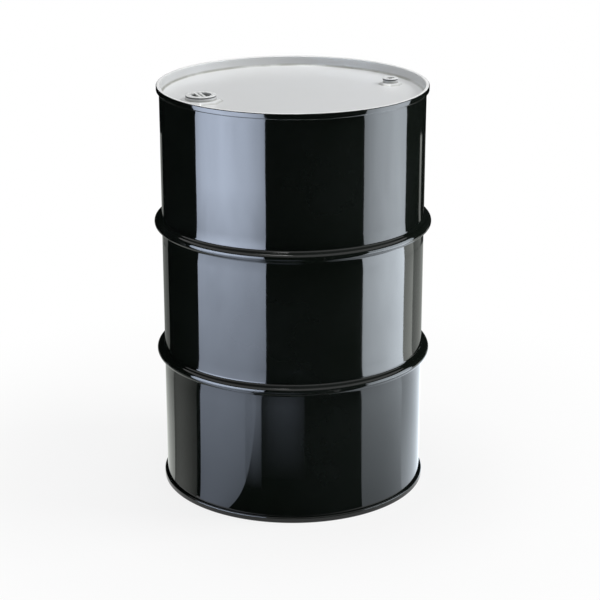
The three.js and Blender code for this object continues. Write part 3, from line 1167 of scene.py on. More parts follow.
@dataclass
class Body:
    """The rolled cylinder with its hoops, its hooks and the weld up its rear."""

    seam: Seam
    finish: BlackEnamel
    tree: TurnedSheet
    weld_tree: WeldBead
    hoops: tuple[float, float] = (301.0 * MM, 591.0 * MM)
    crest_radius: float = 9.5 * MM
    root_radius: float = 6.0 * MM
    segments: int = 240
    unevenness: float = 0.5 * MM
    weld_azimuth: float = 101.0
    weld_width: float = 2.6 * MM
    weld_rise: float = 0.3 * MM
    weld_spacing: float = 2.2 * MM
    weld_end: float = 1.0 * MM  # from the seam to the weld's end
    weld_seed: int = 7
    longest: float = 24.0 * MM  # straight runs are cut into lengths of this at most
    stiff: float = 30.0 * MM  # the sheet keeps its round up to here from each end
    stiff_fade: float = 60.0 * MM
    hoop_give: float = 0.35  # share of the unevenness that is left on the hoops
    hoop_edge: float = 2.0 * MM

    def __post_init__(self) -> None:
        """Takes the drum's height and the hoops' rise from the frame."""
        self.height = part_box("top_head")[1].z
        self.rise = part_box("body_shell")[1].x - self.seam.wall

    def hoop(self, level: float) -> list[Bend]:
        """The arcs of one rolling hoop, on the way up.

        Args:
            level: height of the hoop's middle.
        Returns:
            Its three arcs.
        """
        root = self.root_radius + self.seam.sheet / 2
        crest = self.crest_radius - self.seam.sheet / 2
        reach = root + crest
        swing = math.degrees(math.acos((reach - self.rise) / reach))
        half = math.sqrt(reach**2 - (reach - self.rise) ** 2)
        wall = self.seam.body_wall
        return [
            Bend(wall + root, level - half, root, 180, 180 - swing, 8),
            Bend(wall + self.rise - crest, level, crest, -swing, swing, 16),
            Bend(wall + root, level + half, root, 180 + swing, 180, 8),
        ]

    def faces(self) -> list[list[Point]]:
        """The outer and the inner face of the sheet, from the bottom hook to the top one.

        Returns:
            The points of both faces, as (r, z).
        """
        top = self.seam.body_fold
        bends = [
            Bend(top.r, -top.z, top.radius, 0, -180, top.steps),
            *(arc for level in self.hoops for arc in self.hoop(level)),
            Bend(top.r, self.height + top.z, top.radius, 180, 0, top.steps),
        ]
        start = (self.seam.body_hook, -self.seam.body_hook_edge)
        end = (self.seam.body_hook, self.height + self.seam.body_hook_edge)
        half = self.seam.sheet / 2
        return [divided(sheet_face(start, bends, end, side), self.longest) for side in (half, -half)]

    def give(self, point: Point) -> float:
        """How much the sheet may be uneven at a point: nothing at the seams, little on the hoops.

        Args:
            point: the point, as (r, z).
        Returns:
            The share of the full unevenness.
        """
        from_end = min(point[1], self.height - point[1])
        share = min(1.0, max(0.0, (from_end - self.stiff) / self.stiff_fade))
        return share * (self.hoop_give if point[0] > self.seam.wall + self.hoop_edge else 1.0)

    def weld(self, material: Material, outer: Sequence[Point]) -> Mesh:
        """The bead of the lengthwise weld, over wall and hoops.

        Args:
            material: its finish.
            outer: the wall's outer face.
        Returns:
            The bead.
        """
        low = self.seam.chime + self.weld_end
        azimuth = math.radians(self.weld_azimuth)
        cosine, sine = math.cos(azimuth), math.sin(azimuth)
        on_wall = [p for p in outer if low < p[1] < self.height - low and p[0] > self.seam.body_wall]
        reach = [r - self.unevenness / 2 * self.give((r, z)) for r, z in on_wall]
        path = [(r * cosine, r * sine, z) for r, (_, z) in zip(reach, on_wall)]
        values = {
            "Spacing": self.weld_spacing,
            "Width": self.weld_width,
            "Rise": self.weld_rise,
            "Across": (-sine, cosine, 0.0),
            "Seed": self.weld_seed,
            "Material": material,
        }
        return self.weld_tree.run("weld", path_mesh("weld_line", path), values)

    def build(self) -> None:
        """Makes the shell and puts it in place of its frame node."""
        material = self.finish.material()
        outer, inner = self.faces()
        outline = outer + inner[::-1]
        lined = [0.0] * len(outer) + [1.0 if p[0] < self.seam.body_wall else 0.0 for p in inner[::-1]]
        shell = self.tree.turn(
            "shell",
            outline,
            material,
            self.segments,
            unevenness=self.unevenness,
            lining=lined,
            give=[self.give(p) for p in outline],
        )
        mesh = joined("drum_body", [shell, self.weld(material, outer)])
        place("drum_body", mesh, material, "drum", ["body_shell"])


def place(name: str, mesh: Mesh, material: Material, body: str, nodes: Sequence[str]) -> None:
    """Puts a finished piece into the scene and reports it.

    Args:
        name: name of the piece.
        mesh: its mesh.
        material: its finish.
        body: the frame body that it rides on.
        nodes: the frame nodes that it stands for.
    """
    tidy(mesh)
    mesh.materials.clear()
    mesh.materials.append(material)
    for polygon in mesh.polygons:
        polygon.material_index = 0
    obj = mesh_object(name, mesh)
    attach(obj, body)
    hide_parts(*nodes)
    LOG.info("%s: %d faces for %s", name, len(mesh.polygons), ", ".join(nodes))


def head_faces(seam: Seam, recess: float, fillet: float) -> tuple[list[Point], list[Point]]:
    """The two faces of a recessed head, with its rim plane at z = 0 and its panel below.

    Args:
        seam: the seam's layers.
        recess: depth of the panel.
        fillet: radius between panel and recess wall, at the sheet's middle.
    Returns:
        The outer face and the inner one, from the panel's centre to the hook.
    """
    panel = -recess - seam.sheet / 2
    corner = seam.corner - seam.sheet / 2
    level = -seam.sheet / 2 - corner
    fold = (seam.face - seam.head_hook) / 2
    bends = [
        Bend(seam.head_wall - fillet, panel + fillet, fillet, -90, 0, 12),
        Bend(seam.head_wall + corner, level, corner, 180, 90, 8),
        Bend(seam.face - corner, level, corner, 90, 0, 8),
        Bend(seam.head_hook + fold, -(seam.chime - fold - seam.sheet / 2), fold, 0, -180, 12),
    ]
    start, end = (0.0, panel), (seam.head_hook, seam.head_hook_edge)
    half = seam.sheet / 2
    return sheet_face(start, bends, end, -half), sheet_face(start, bends, end, half)


@dataclass
class Ends:
    """The bottom head and the sealing compound in both seams."""

    seam: Seam
    black: BlackEnamel
    compound: Rubber
    tree: TurnedSheet
    recess: float = 20.0 * MM
    fillet: float = 7.0 * MM
    longest: float = 60.0 * MM  # straight runs are cut into lengths of this at most
    segments: int = 240

    def bottom(self, material: Material) -> None:
        """Makes the bottom head.

        Args:
            material: its finish.
        """
        faces = head_faces(self.seam, self.recess, self.fillet)
        outer, inner = (divided(face, self.longest) for face in faces)
        outline = [(r, -z) for r, z in (*outer, *inner[::-1])]
        painted = [i < len(outer) or r > self.seam.head_wall for i, (r, _) in enumerate(outline)]
        lined = [0.0 if paint else 1.0 for paint in painted]
        mesh = self.tree.turn("bottom", outline, material, self.segments, lining=lined)
        place("bottom_pan", mesh, material, "drum", ["bottom_head"])

    def compounds(self, material: Material) -> None:
        """Makes the compound ring inside each seam.

        Args:
            material: their finish.
        """
        fold = self.seam.body_fold
        radius = fold.radius - self.seam.sheet / 2 - self.seam.fit
        foot = fold.z - self.seam.compound_depth
        dome = Bend(fold.r, fold.z, radius, 0, 180, 10).points()
        section = [(fold.r - radius, foot), (fold.r + radius, foot), *dome]
        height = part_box("top_head")[1].z
        ends = (("upper", "top_seam_compound", height, 1), ("lower", "bottom_seam_compound", 0.0, -1))
        for name, node, base, flip in ends:
            outline = [(r, base + flip * z) for r, z in section]
            mesh = self.tree.turn(name, outline, material, self.segments)
            place(f"{name}_compound", mesh, material, "drum", [node])

    def build(self) -> None:
        """Makes all three pieces."""
        self.bottom(self.black.material())
        self.compounds(self.compound.material())


# ---- Closures ----


@dataclass
class Closure:
    """One screw closure: the sizes of its seat, flange, gaskets and plug."""

    name: str
    thread_radius: float
    thread_depth: float
    pitch: float
    seat_margin: float
    skirt_wall: float
    cup_wall: float
    skirt_gap: float
    cup_depth: float
    rim: float = 1.8 * MM
    seat_rise: float = 4.0 * MM
    seat_draft: float = 5.3 * MM
    sheet: float = 1.2 * MM
    collar_sheet: float = 1.0 * MM
    neck_wall: float = 1.2 * MM
    fit: float = 0.3 * MM
    flank_gap: float = 0.4 * MM
    lip_gap: float = 0.6 * MM
    thread_lead: float = 0.6 * MM
    segments: int = 128

    def __post_init__(self) -> None:
        """Works out radii, and takes places and heights from the frame."""
        low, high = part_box(self.name + "_plug")
        flange_low, flange_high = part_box(self.name + "_flange")
        self.x, self.y = (low.x + high.x) / 2, (low.y + high.y) / 2
        self.top, self.skirt_under = high.z, low.z
        self.rim_radius = (high.x - low.x) / 2
        self.rim_under = self.top - self.rim
        self.neck_top, self.neck_under = flange_high.z, flange_low.z
        self.base_corner = (flange_high.x - flange_low.x) / 2
        self.male_crest = self.thread_radius - self.flank_gap / 2
        self.male_root = self.male_crest - self.thread_depth + self.flank_gap
        self.female_root = self.male_crest + self.flank_gap
        self.female_crest = self.male_root + self.flank_gap
        self.neck_radius = self.female_root + self.neck_wall
        self.collar_inside = self.neck_radius + self.fit
        self.collar_radius = self.collar_inside + self.collar_sheet
        self.lip_radius = self.male_crest + self.lip_gap
        self.lip_top = self.neck_top + self.fit + self.collar_sheet
        self.skirt_inside = self.male_root - self.skirt_wall
        self.cup_radius = self.skirt_inside - self.skirt_gap - self.cup_wall
        self.floor = self.top - self.cup_depth

    @property
    def centre(self) -> Vector:
        """The closure's axis, at height 0."""
        return Vector((self.x, self.y, 0.0))


@dataclass
class TopHead:
    """The white top head, with a seat and a collar pressed up round each flange."""

    seam: Seam
    closures: Sequence[Closure]
    finish: WhiteEnamel
    fillet: float = 7.0 * MM
    segments: int = 240
    seat_points: int = 96
    seat_edge: float = 1.3 * MM
    seat_corner: float = 3.2 * MM
    apron: float = 3.0 * MM
    foot_bend: float = 1.3 * MM  # between the seat and the collar
    lip_bend: float = 0.9 * MM
    lip_edge: float = 0.35 * MM
    lip_paint: float = 0.7  # share of the lip's thickness that the white covers
    touch: float = 0.001 * MM
    clear: float = 0.05 * MM
    ring_gap: float = 0.02 * MM  # keeps the collar's bend off the seat's last ring
    inner_edge: float = 0.3 * MM  # roundings of the collar's inside, above and below
    inner_foot: float = 0.4 * MM
    inner_land: float = 0.5 * MM
    foot_shade_width: float = 0.55 * MM  # width of the painted shade in the crease at the seat's foot
    foot_shade_rise: float = 0.3 * MM  # how far the painted shade climbs there, and at the collar
    collar_shade_rise: float = 1.1 * MM
    panel_edge: float = 1.5 * MM  # from the panel's round corner in to its flat sheet
    panel_spacing: float = 16.0 * MM
    longest: float = 5.0 * MM  # straight runs are cut into lengths of this at most

    def seat_rings(self, loft: Loft, c: Closure) -> list[Ring]:
        """The rings of a seat, from the panel's upper face over the collar's lip to its lower face.

        Args:
            loft: the rings about the closure's axis.
            c: the closure.
        Returns:
            The rings, in order.
        """
        lean = c.seat_draft * FLAT_SHARE / c.seat_rise
        inset = c.sheet * math.tan(math.atan(1 / lean) / 2)
        foot = (c.collar_radius + c.seat_margin + c.seat_draft) * FLAT_SHARE
        head = foot - c.seat_draft * FLAT_SHARE
        up, top = PANEL_HEIGHT, PANEL_HEIGHT + c.seat_rise
        edge, bend, under = self.seat_edge, self.foot_bend, top - c.sheet
        collar, lip, lip_under = c.collar_radius, c.lip_radius, c.lip_top - c.collar_sheet

        def eight(corners: Sequence[Corner], lining: float) -> list[Ring]:
            """Eight-sided rings along a rounded line.

            Args:
                corners: the line's corners.
                lining: 1 on the lacquered inside.
            Returns:
                The rings, in order.
            """
            return [
                loft.ring(r, z, Around.EIGHT_SIDED, self.seat_corner, lining)
                for r, z in rounded(corners, 5)
            ]

        land = (collar + bend + head) / 2
        rings = eight([(foot + self.apron, up, 0), (foot, up, edge), (head, top, edge), (land, top, 0)], 0.0)
        tube = [
            (collar + bend + self.ring_gap, top, 0),
            (collar, top, bend),
            (collar, c.lip_top, self.lip_bend),
            (lip, c.lip_top, self.lip_edge),
            (lip, lip_under, self.lip_edge),
            (c.collar_inside, lip_under, self.inner_edge),
            (c.collar_inside, under, self.inner_foot),
            (c.collar_inside + self.inner_land, under, 0),
        ]
        rings += [loft.ring(r, z, lining=1.0) for r, z in rounded(tube, 6)]
        lining, crease = (loft.bm.verts.layers.float[name] for name in ("lining", "crease"))
        # Marks painted shade in the creases: 1 round the collar's foot, 0.8 at the seat's foot.
        for ring in rings:
            side, level = min((v.co - loft.centre).to_2d().length for v in ring), ring[0].co.z
            at_foot = abs(side - foot) < self.foot_shade_width and level < up + self.foot_shade_rise
            by_collar = collar - self.clear < side < collar + bend
            at_collar = by_collar and level < top + self.collar_shade_rise
            painted = side > collar - self.touch or level > c.lip_top - self.lip_paint * c.collar_sheet
            for vert in ring:
                vert[lining] = 0.0 if painted else vert[lining]
                vert[crease] = 1.0 if at_collar else 0.8 if at_foot else 0.0
        below = [
            ((c.collar_inside + head) / 2, under, 0),
            (head - inset, under, edge),
            (foot - inset, up - c.sheet, edge),
            (foot - inset + self.apron, up - c.sheet, 0),
        ]
        return rings + eight(below, 1.0)

    def build(self) -> None:
        """Makes the head in one closed skin."""
        bm = fresh()
        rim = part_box("top_head")[1].z
        outer, inner = head_faces(self.seam, rim - PANEL_HEIGHT, self.fillet)
        loft = Loft(self.segments, Vector((0, 0, rim)), bm)
        apron = outer[1][0] - self.panel_edge
        upper, lower = divided(outer[1:], self.longest), divided(inner[1:], self.longest)
        path = [(apron, outer[1][1]), *upper, *lower[::-1], (apron, inner[1][1])]
        rings = [
            loft.ring(r, z, lining=0.0 if i <= len(upper) or r > self.seam.head_wall else 1.0)
            for i, (r, z) in enumerate(path)
        ]
        bridge(bm, rings)
        above, below = [], []
        for c in self.closures:
            own = Loft(self.seat_points, c.centre, bm)
            seat = self.seat_rings(own, c)
            bridge(bm, seat)
            above.append(seat[0])
            below.append(seat[-1])
        fill_between(bm, rings[0], above, self.panel_spacing)
        fill_between(bm, rings[-1], below, self.panel_spacing)
        material = self.finish.material()
        place("white_head", ended(bm, "white_head"), material, "drum", ["top_head"])


def prism(
    bm: BMesh, section: Sequence[Point], stations: Sequence[Point], azimuth: float, centre: Vector
) -> None:
    """A bar of one section, laid flat at an azimuth.

    Args:
        bm: the mesh to add it to.
        section: its outline, as (across, height).
        stations: places along it, each with how far the outline is drawn in there.
        azimuth: direction of the bar, in degrees.
        centre: where distance 0 is.
    """
    a = math.radians(azimuth)
    along, across = Vector((math.cos(a), math.sin(a), 0)), Vector((-math.sin(a), math.cos(a), 0))
    middle = sum(p[0] for p in section) / len(section)
    top = max(p[1] for p in section) - 1e-6
    rings = []
    for distance, inset in stations:
        ring = []
        for offset, z in section:
            side = offset - math.copysign(min(inset, abs(offset - middle)), offset - middle)
            level = Vector((0, 0, z - inset if z > top else z))
            ring.append(bm.verts.new(centre + along * distance + across * side + level))
        rings.append(ring)
    bridge(bm, rings)
    bm.faces.new(rings[0][::-1])
    bm.faces.new(rings[-1])


@dataclass
class ClosurePieces:
    """The four pieces of one closure."""

    c: Closure
    enamel: PlugEnamel
    zinc: ZincPlate
    rubber: Rubber
    tree: TurnedSheet
    thread_tree: ThreadRidge
    drop: float = 1.5 * MM  # from the rim down to the bar or the lugs
    embed: float = 0.05 * MM
    ridge: float = 0.34  # half of a thread's height at its foot, as a share of the pitch
    thread_end: float = 0.3  # pitches from a thread's end to the middle of its last turn
    male_phase: float = 0.75  # heights of the crests over the panel, as shares of the pitch
    female_phase: float = 0.25
    thread_steps: int = 72
    base_points: int = 96
    base_top: float = 3.1 * MM  # heights over the neck's lower end
    base_under: float = 0.5 * MM
    base_rounding: float = 2.0 * MM
    base_edge: float = 0.5 * MM
    base_rim: float = 0.8 * MM
    gasket_edge: float = 0.45 * MM
    edge: float = 0.3 * MM  # roundings of the plug
    cup_foot: float = 1.2 * MM
    cup_bend: float = 1.3 * MM
    rim_low_edge: float = 0.5 * MM
    rim_edge: float = 0.9 * MM
    neck_edge: float = 0.25 * MM  # roundings of the flange
    neck_bend: float = 0.6 * MM
    neck_low_edge: float = 0.2 * MM

    def turned(self, name: str, corners: Sequence[Corner], material: Material, closed: bool) -> Mesh:
        """Turns a rounded outline about the closure's axis."""
        c = self.c
        return self.tree.turn(name, rounded(corners, 5, closed), material, c.segments, c.centre)

    def thread(
        self,
        name: str,
        root: float,
        crest: float,
        low: float,
        high: float,
        phase: float,
        material: Material,
    ) -> Mesh:
        """The ridge of a thread between two heights.

        Args:
            name: name of the mesh.
            root: radius of the wall that it stands on.
            crest: radius of its crest.
            low: lower end of the thread.
            high: upper end of the thread.
            phase: height of the crest over the panel at azimuth 0, as a share of the pitch.
            material: its finish.
        Returns:
            The ridge.
        """
        c = self.c
        first = PANEL_HEIGHT + c.pitch * phase
        lead = self.thread_end * c.pitch
        start = first + c.pitch * math.ceil((low + lead - first) / c.pitch)
        turns = (high - lead - start) / c.pitch
        seat = root - math.copysign(self.embed, crest - root)
        values = {
            "Radius": seat,
            "Depth": abs(crest - seat),
            "Pitch": c.pitch,
            "Width": self.ridge * c.pitch,
            "Turns": turns,
            "Steps Per Turn": self.thread_steps,
            "Start": (c.x, c.y, start),
            "Material": material,
        }
        return self.thread_tree.run(name, bpy.data.meshes.new(name + "_start"), values)

    def plug(self) -> None:
        """Makes the plug: rim, cup and threaded skirt, with its wrench feature."""
        c = self.c
        material = self.enamel.material()
        cup, edge = c.cup_radius + c.cup_wall, self.edge
        corners = [
            (0.0, c.floor - c.cup_wall, 0),
            (cup, c.floor - c.cup_wall, self.cup_foot),
            (cup, c.rim_under, edge),
            (c.skirt_inside, c.rim_under, edge),
            (c.skirt_inside, c.skirt_under, edge),
            (c.male_root, c.skirt_under, edge),
            (c.male_root, c.rim_under, edge),
            (c.rim_radius, c.rim_under, self.rim_low_edge),
            (c.rim_radius, c.top, self.rim_edge),
            (c.cup_radius, c.top, self.rim_edge),
            (c.cup_radius, c.floor, self.cup_bend),
            (0.0, c.floor, 0),
        ]
        body = self.turned(c.name + "_cup", corners, material, False)
        low, high = c.skirt_under + c.thread_lead, c.rim_under - c.thread_lead
        walls = (c.male_root, c.male_crest)
        ridge = self.thread(c.name + "_male", *walls, low, high, self.male_phase, material)
        bm = fresh()
        self.wrench(bm)
        mesh = joined(f"{c.name}_screw", [body, ridge, ended(bm, c.name + "_wrench")])
        place(f"{c.name}_screw_plug", mesh, material, c.name + "_screw", [c.name + "_plug"])

    def wrench(self, bm: BMesh) -> None:
        """Adds the feature that a wrench grips in the cup."""
        raise NotImplementedError

    def flange(self) -> None:
        """Makes the flange: an eight-sided base and a neck threaded inside."""
        c = self.c
        material = self.zinc.material()
        bm = fresh()
        loft = Loft(self.base_points, c.centre, bm)
        flat, rim = c.base_corner * FLAT_SHARE, self.base_rim
        top, under = c.neck_under + self.base_top, c.neck_under + self.base_under
        root, neck, edge = c.female_root, c.neck_radius, self.neck_low_edge
        inside = [
            (root, under, 0),
            (root, c.neck_top, self.neck_edge),
            (neck, c.neck_top, self.neck_edge),
            (neck, top, self.neck_bend),
            (neck + 1.0 * MM, top, 0),
        ]
        side = [
            (flat - rim, top, 0),
            (flat, top, self.base_edge),
            (flat, under, self.base_edge),
            (flat - rim, under, 0),
        ]
        below = [
            (neck + 0.7 * MM, under, 0),
            (neck, under, edge),
            (neck, c.neck_under, edge),
            (root, c.neck_under, edge),
            (root, under - 0.1 * MM, 0),
        ]
        rings = [loft.ring(r, z) for r, z in rounded(inside)]
        rings += [loft.ring(r, z, Around.EIGHT_SIDED, self.base_rounding) for r, z in rounded(side)]
        rings += [loft.ring(r, z) for r, z in rounded(below)]
        bridge(bm, rings, closed=True)
        low, high = c.neck_under + c.thread_lead, c.neck_top - c.thread_lead
        walls = (root, c.female_crest)
        ridge = self.thread(c.name + "_female", *walls, low, high, self.female_phase, material)
        mesh = joined(f"{c.name}_base", [ended(bm, c.name + "_neck"), ridge])
        place(f"{c.name}_neck_flange", mesh, material, "drum", [c.name + "_flange"])

    def gaskets(self) -> None:
        """Makes the washer under the plug's rim and the ring under the seat."""
        c = self.c
        material = self.rubber.material()
        for node, body in (("_plug_gasket", c.name + "_washer"), ("_flange_gasket", "drum")):
            low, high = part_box(c.name + node)
            outside = (high.x - low.x) / 2
            inside = (c.male_crest if node == "_plug_gasket" else c.neck_radius) + c.fit
            places = ((inside, low.z), (outside, low.z), (outside, high.z), (inside, high.z))
            corners = [(*at, self.gasket_edge) for at in places]
            mesh = self.turned(c.name + node + "_ring", corners, material, True)
            place(f"{c.name}{node}_ring", mesh, material, body, [c.name + node])

    def build(self) -> None:
        """Makes all four pieces."""
        self.plug()
        self.flange()
        self.gaskets()


@dataclass
class FillPieces(ClosurePieces):
    """The large closure, whose plug has a grooved bar across its cup."""

    bar_width: float = 15.0 * MM
    bar_azimuth: float = 110.0
    groove_width: float = 4.4 * MM
    groove_depth: float = 2.6 * MM

    def wrench(self, bm: BMesh) -> None:
        """Adds the grooved bar.

        Args:
            bm: the mesh to add it to.
        """
        c = self.c
        top, foot = c.top - self.drop, c.floor - 0.5 * MM
        half, groove = self.bar_width / 2, self.groove_width / 2
        bed = top - self.groove_depth
        lean, taper = 0.1 * MM, 0.3 * MM
        left = [
            (-half - lean, foot, 0),
            (-half + lean, top, 1.1 * MM),
            (-groove, top, 0.6 * MM),
            (-groove + taper, bed, 0.8 * MM),
        ]
        section = rounded(left + [(-r, z, edge) for r, z, edge in left[::-1]], 5, True)
        reach = c.cup_radius + 0.3 * MM
        prism(bm, section, [(-reach, 0.0), (reach, 0.0)], self.bar_azimuth, c.centre)


@dataclass
class VentPieces(ClosurePieces):
    """The small closure, whose plug has two lugs in its cup."""

    lug_width: float = 7.5 * MM
    slot: float = 6.5 * MM
    lug_azimuth: float = 90.0

    def wrench(self, bm: BMesh) -> None:
        """Adds the two lugs.

        Args:
            bm: the mesh to add them to.
        """
        c = self.c
        top, foot = c.top - self.drop, c.floor - 0.4 * MM
        near, far = self.slot / 2, c.cup_radius + 0.1 * MM
        half, edge = self.lug_width / 2, 0.4 * MM
        stations = [(-half, edge), (-half + edge, 0.0), (half - edge, 0.0), (half, edge)]
        for side in (1, -1):
            corners = ((near, foot, 0), (near, top, 0.7 * MM), (far, top, 0), (far, foot, 0))
            section = rounded([(side * r, z, bend) for r, z, bend in corners], 5, True)
            prism(bm, section, stations, self.lug_azimuth, c.centre)


# ---- Studio ----


@dataclass(frozen=True)
class Sheet:
    """A stretch of floor in front of the drum's wall, laid out the way that the wall mirrors it."""

    name: str
    start: float  # degrees from the front of the drum, to the right
    end: float
    near: float  # from the wall
    far: float
    near_light: float
    far_light: float
    colour: Colour
    edge: float = 1.0  # share of the light at its two sides
    slant: float = 0.0  # degrees that the end is turned back by at the near side
    panel: bool = False  # goes on up a wall at its far side


@dataclass
class Studio:
    """Floor, backdrop, lamps and camera."""

    floor_colour: Colour = rgb(0.86, 0.86, 0.86)
    floor_half: float = 14.0
    floor_white: float = 0.84  # how far the floor is simply white by the drum; all white far off
    floor_fade: Point = (0.42, 1.2)
    room: float = 0.12
    key_power: float = 46.0
    key_place: Place = (-0.2, 0.15, 3.4)
    key_aim: Place = (0.0, 0.0, 0.6)
    key_size: Point = (1.0, 0.8)
    side_power: float = 84.0
    side_place: Place = (2.7, -0.15, 3.0)
    side_aim: Place = (0.0, 0.0, 0.85)
    side_size: Point = (1.5, 1.5)
    wall: float = 283.5 * MM
    camera_place: Place = (0.0, -3.8805, 1.7317)
    camera_pitch: float = 0.33
    camera_yaw: float = 0.00396
    focal: float = 111.8
    blue: Colour = rgb(0.71, 0.81, 1.0)
    grey: Colour = rgb(0.84, 0.92, 1.0)
    dull: Colour = rgb(0.96, 1.0, 0.95)
    dark: Colour = rgb(0.004, 0.005, 0.005)
    dark_level: float = 0.004  # height of the dark floor card
    dark_hole: float = 0.31  # its radii
    dark_reach: float = 4.2
    screen_radius: float = 4.1
    screen_height: float = 3.6
    cloth_level: float = 0.008
    cloth_step: float = 3.0  # degrees between a cloth's points
    panel_height: float = 1.5

    def sheets(self) -> list[Sheet]:
        """The glowing cloths that the gloss shows, left and right of the camera.

        Returns:
            The cloths.
        """
        return [
            Sheet("left_near", -45.6, -15.5, 0.02, 0.85, 2.25, 5.2, self.blue, 0.8, slant=-14.0),
            Sheet("left_slip", -21.5, -14.0, 0.14, 0.84, 0.0, 5.0, self.blue, 0.65),
            Sheet("left_haze", -14.0, 5.0, 0.20, 0.84, 0.0, 1.25, self.blue, 0.25),
            Sheet("left_middle", -45.6, -11.7, 0.85, 1.75, 6.0, 9.6, self.blue, 0.78),
            Sheet("left_cloth", -45.6, -11.7, 1.75, 2.6, 9.9, 15.0, self.blue, 0.55, panel=True),
            Sheet("right_near", 31.6, 57.1, 0.02, 0.85, 1.4, 3.4, self.grey),
            Sheet("right_middle", 31.6, 57.3, 0.85, 1.75, 8.2, 9.4, self.grey, 0.85),
            Sheet("right_cloth", 31.6, 57.1, 1.75, 2.6, 6.6, 7.4, self.grey, 0.65, panel=True),
            Sheet("right_floor", 57.1, 89.0, 0.02, 0.85, 2.1, 1.7, self.grey),
            Sheet("right_verge", 57.3, 66.0, 0.85, 1.75, 1.5, 1.2, self.dull),
            Sheet("right_edge", 66.0, 88.0, 0.85, 1.75, 0.5, 0.4, self.dull),
            Sheet("right_strip", 71.6, 74.4, 1.75, 3.2, 0.5, 0.8, self.dull),
            Sheet("left_floor", -89.0, -68.0, 0.02, 0.85, 1.0, 0.28, self.dull),
            Sheet("left_verge", -68.0, -48.0, 0.02, 0.85, 0.55, 0.35, self.dull, 0.5),
            Sheet("rear_middle", -89.5, -72.0, 0.85, 1.75, 0.28, 0.28, self.dull),
            Sheet("rear_left", -89.5, -78.5, 1.75, 3.2, 0.28, 0.26, self.dull),
            Sheet("rear_right", 81.0, 89.5, 1.75, 3.2, 0.06, 0.06, self.dull),
        ]

    def flat(
        self,
        name: str,
        near: Sequence[Place],
        far: Sequence[Place],
        material: Material,
        gloss_only: bool = True,
    ) -> None:
        """A sheet between two rows of points, marked as no part of the drum.

        Args:
            name: its name.
            near: one long edge.
            far: the other one, with as many points.
            material: its material.
            gloss_only: whether nothing but reflections show it.
        """
        mesh = bpy.data.meshes.new(name)
        n = len(near)
        faces = [(i, i + 1, n + i + 1, n + i) for i in range(n - 1)]
        mesh.from_pydata([*near, *far], [], faces)
        shares = [2 * i / (n - 1) - 1 for i in range(n)] * 2
        mesh.attributes.new("hump", "FLOAT", "POINT").data.foreach_set("value", [1 - u * u for u in shares])
        mesh.materials.append(material)
        obj = mesh_object(name, mesh)
        if gloss_only:
            for ray in ("camera", "diffuse", "transmission", "volume_scatter", "shadow"):
                setattr(obj, "visible_" + ray, False)

    def seen(self, tree: Tree) -> Socket:
        """Is this ray one that shows the backdrop: from the camera, a gloss or a glass.

        Args:
            tree: the tree to ask in.
        Returns:
            The answer, 1 for yes.
        """
        path = tree.node("ShaderNodeLightPath").outputs
        either = tree.math("MAXIMUM", path["Is Camera Ray"], path["Is Glossy Ray"])
        return tree.math("MAXIMUM", either, path["Is Transmission Ray"])

    def floor(self) -> None:
        """A pale floor that reads as white, keeps the drum's shadow, and is clear from below."""
        s = Shade("floor")
        s.finish(Base_Color=self.floor_colour, Roughness=0.9)
        white = s.node("ShaderNodeEmission", {"Strength": 1.0}).outputs[0]
        near, far = self.floor_fade
        cover = s.between(s.step(s.radius(), near, far), self.floor_white, 1.0)
        share = s.product(self.seen(s), cover)
        mix = s.node("ShaderNodeMixShader", {0: share, 1: s.shader.outputs[0], 2: white}).outputs[0]
        below = s.node("ShaderNodeNewGeometry").outputs["Backfacing"]
        clear = s.node("ShaderNodeBsdfTransparent").outputs[0]
        s.surface(s.node("ShaderNodeMixShader", {0: below, 1: mix, 2: clear}).outputs[0])
        h = self.floor_half
        self.flat("floor", [(-h, -h, 0), (h, -h, 0)], [(-h, h, 0), (h, h, 0)], s.material, False)

    def glow(self, sheet: Sheet) -> Material:
        """A cloth whose light changes with the distance from the drum.

        Args:
            sheet: the cloth.
        Returns:
            The material.
        """
        s = Shade(sheet.name)
        s.tree.nodes.remove(s.shader)
        near, far = self.wall + sheet.near, self.wall + sheet.far
        sockets = {"Value": s.radius(), 1: near, 2: far, 3: sheet.near_light, 4: sheet.far_light}
        ramp = s.node("ShaderNodeMapRange", sockets).outputs[0]
        cloth = s.between(s.noise(1.7, 2.0), 0.85, 1.15)
        across = s.product(cloth, s.between(s.mark("hump"), sheet.edge, 1.0))
        light = {"Color": sheet.colour, "Strength": s.product(ramp, across)}
        s.surface(s.node("ShaderNodeEmission", light).outputs[0])
        return s.material

    def mirrored(self, turn: float, distance: float, z: float) -> Place:
        """Where the mirror direction from the wall at a turn from the front leads to.

        Args:
            turn: degrees from the front of the drum, to the right.
            distance: how far from the wall.
            z: height of the answer.
        Returns:
            The place.
        """
        a = math.radians(turn)
        x = self.wall * math.sin(a) + distance * math.sin(2 * a)
        y = -self.wall * math.cos(a) - distance * math.cos(2 * a)
        return (x, y, z)

    def circle(self, radius: float, z: float) -> list[Place]:
        """Points all round the drum's axis, from behind and back."""
        turns = [math.radians(degrees) for degrees in range(-180, 181, 5)]
        return [(radius * math.sin(t), -radius * math.cos(t), z) for t in turns]

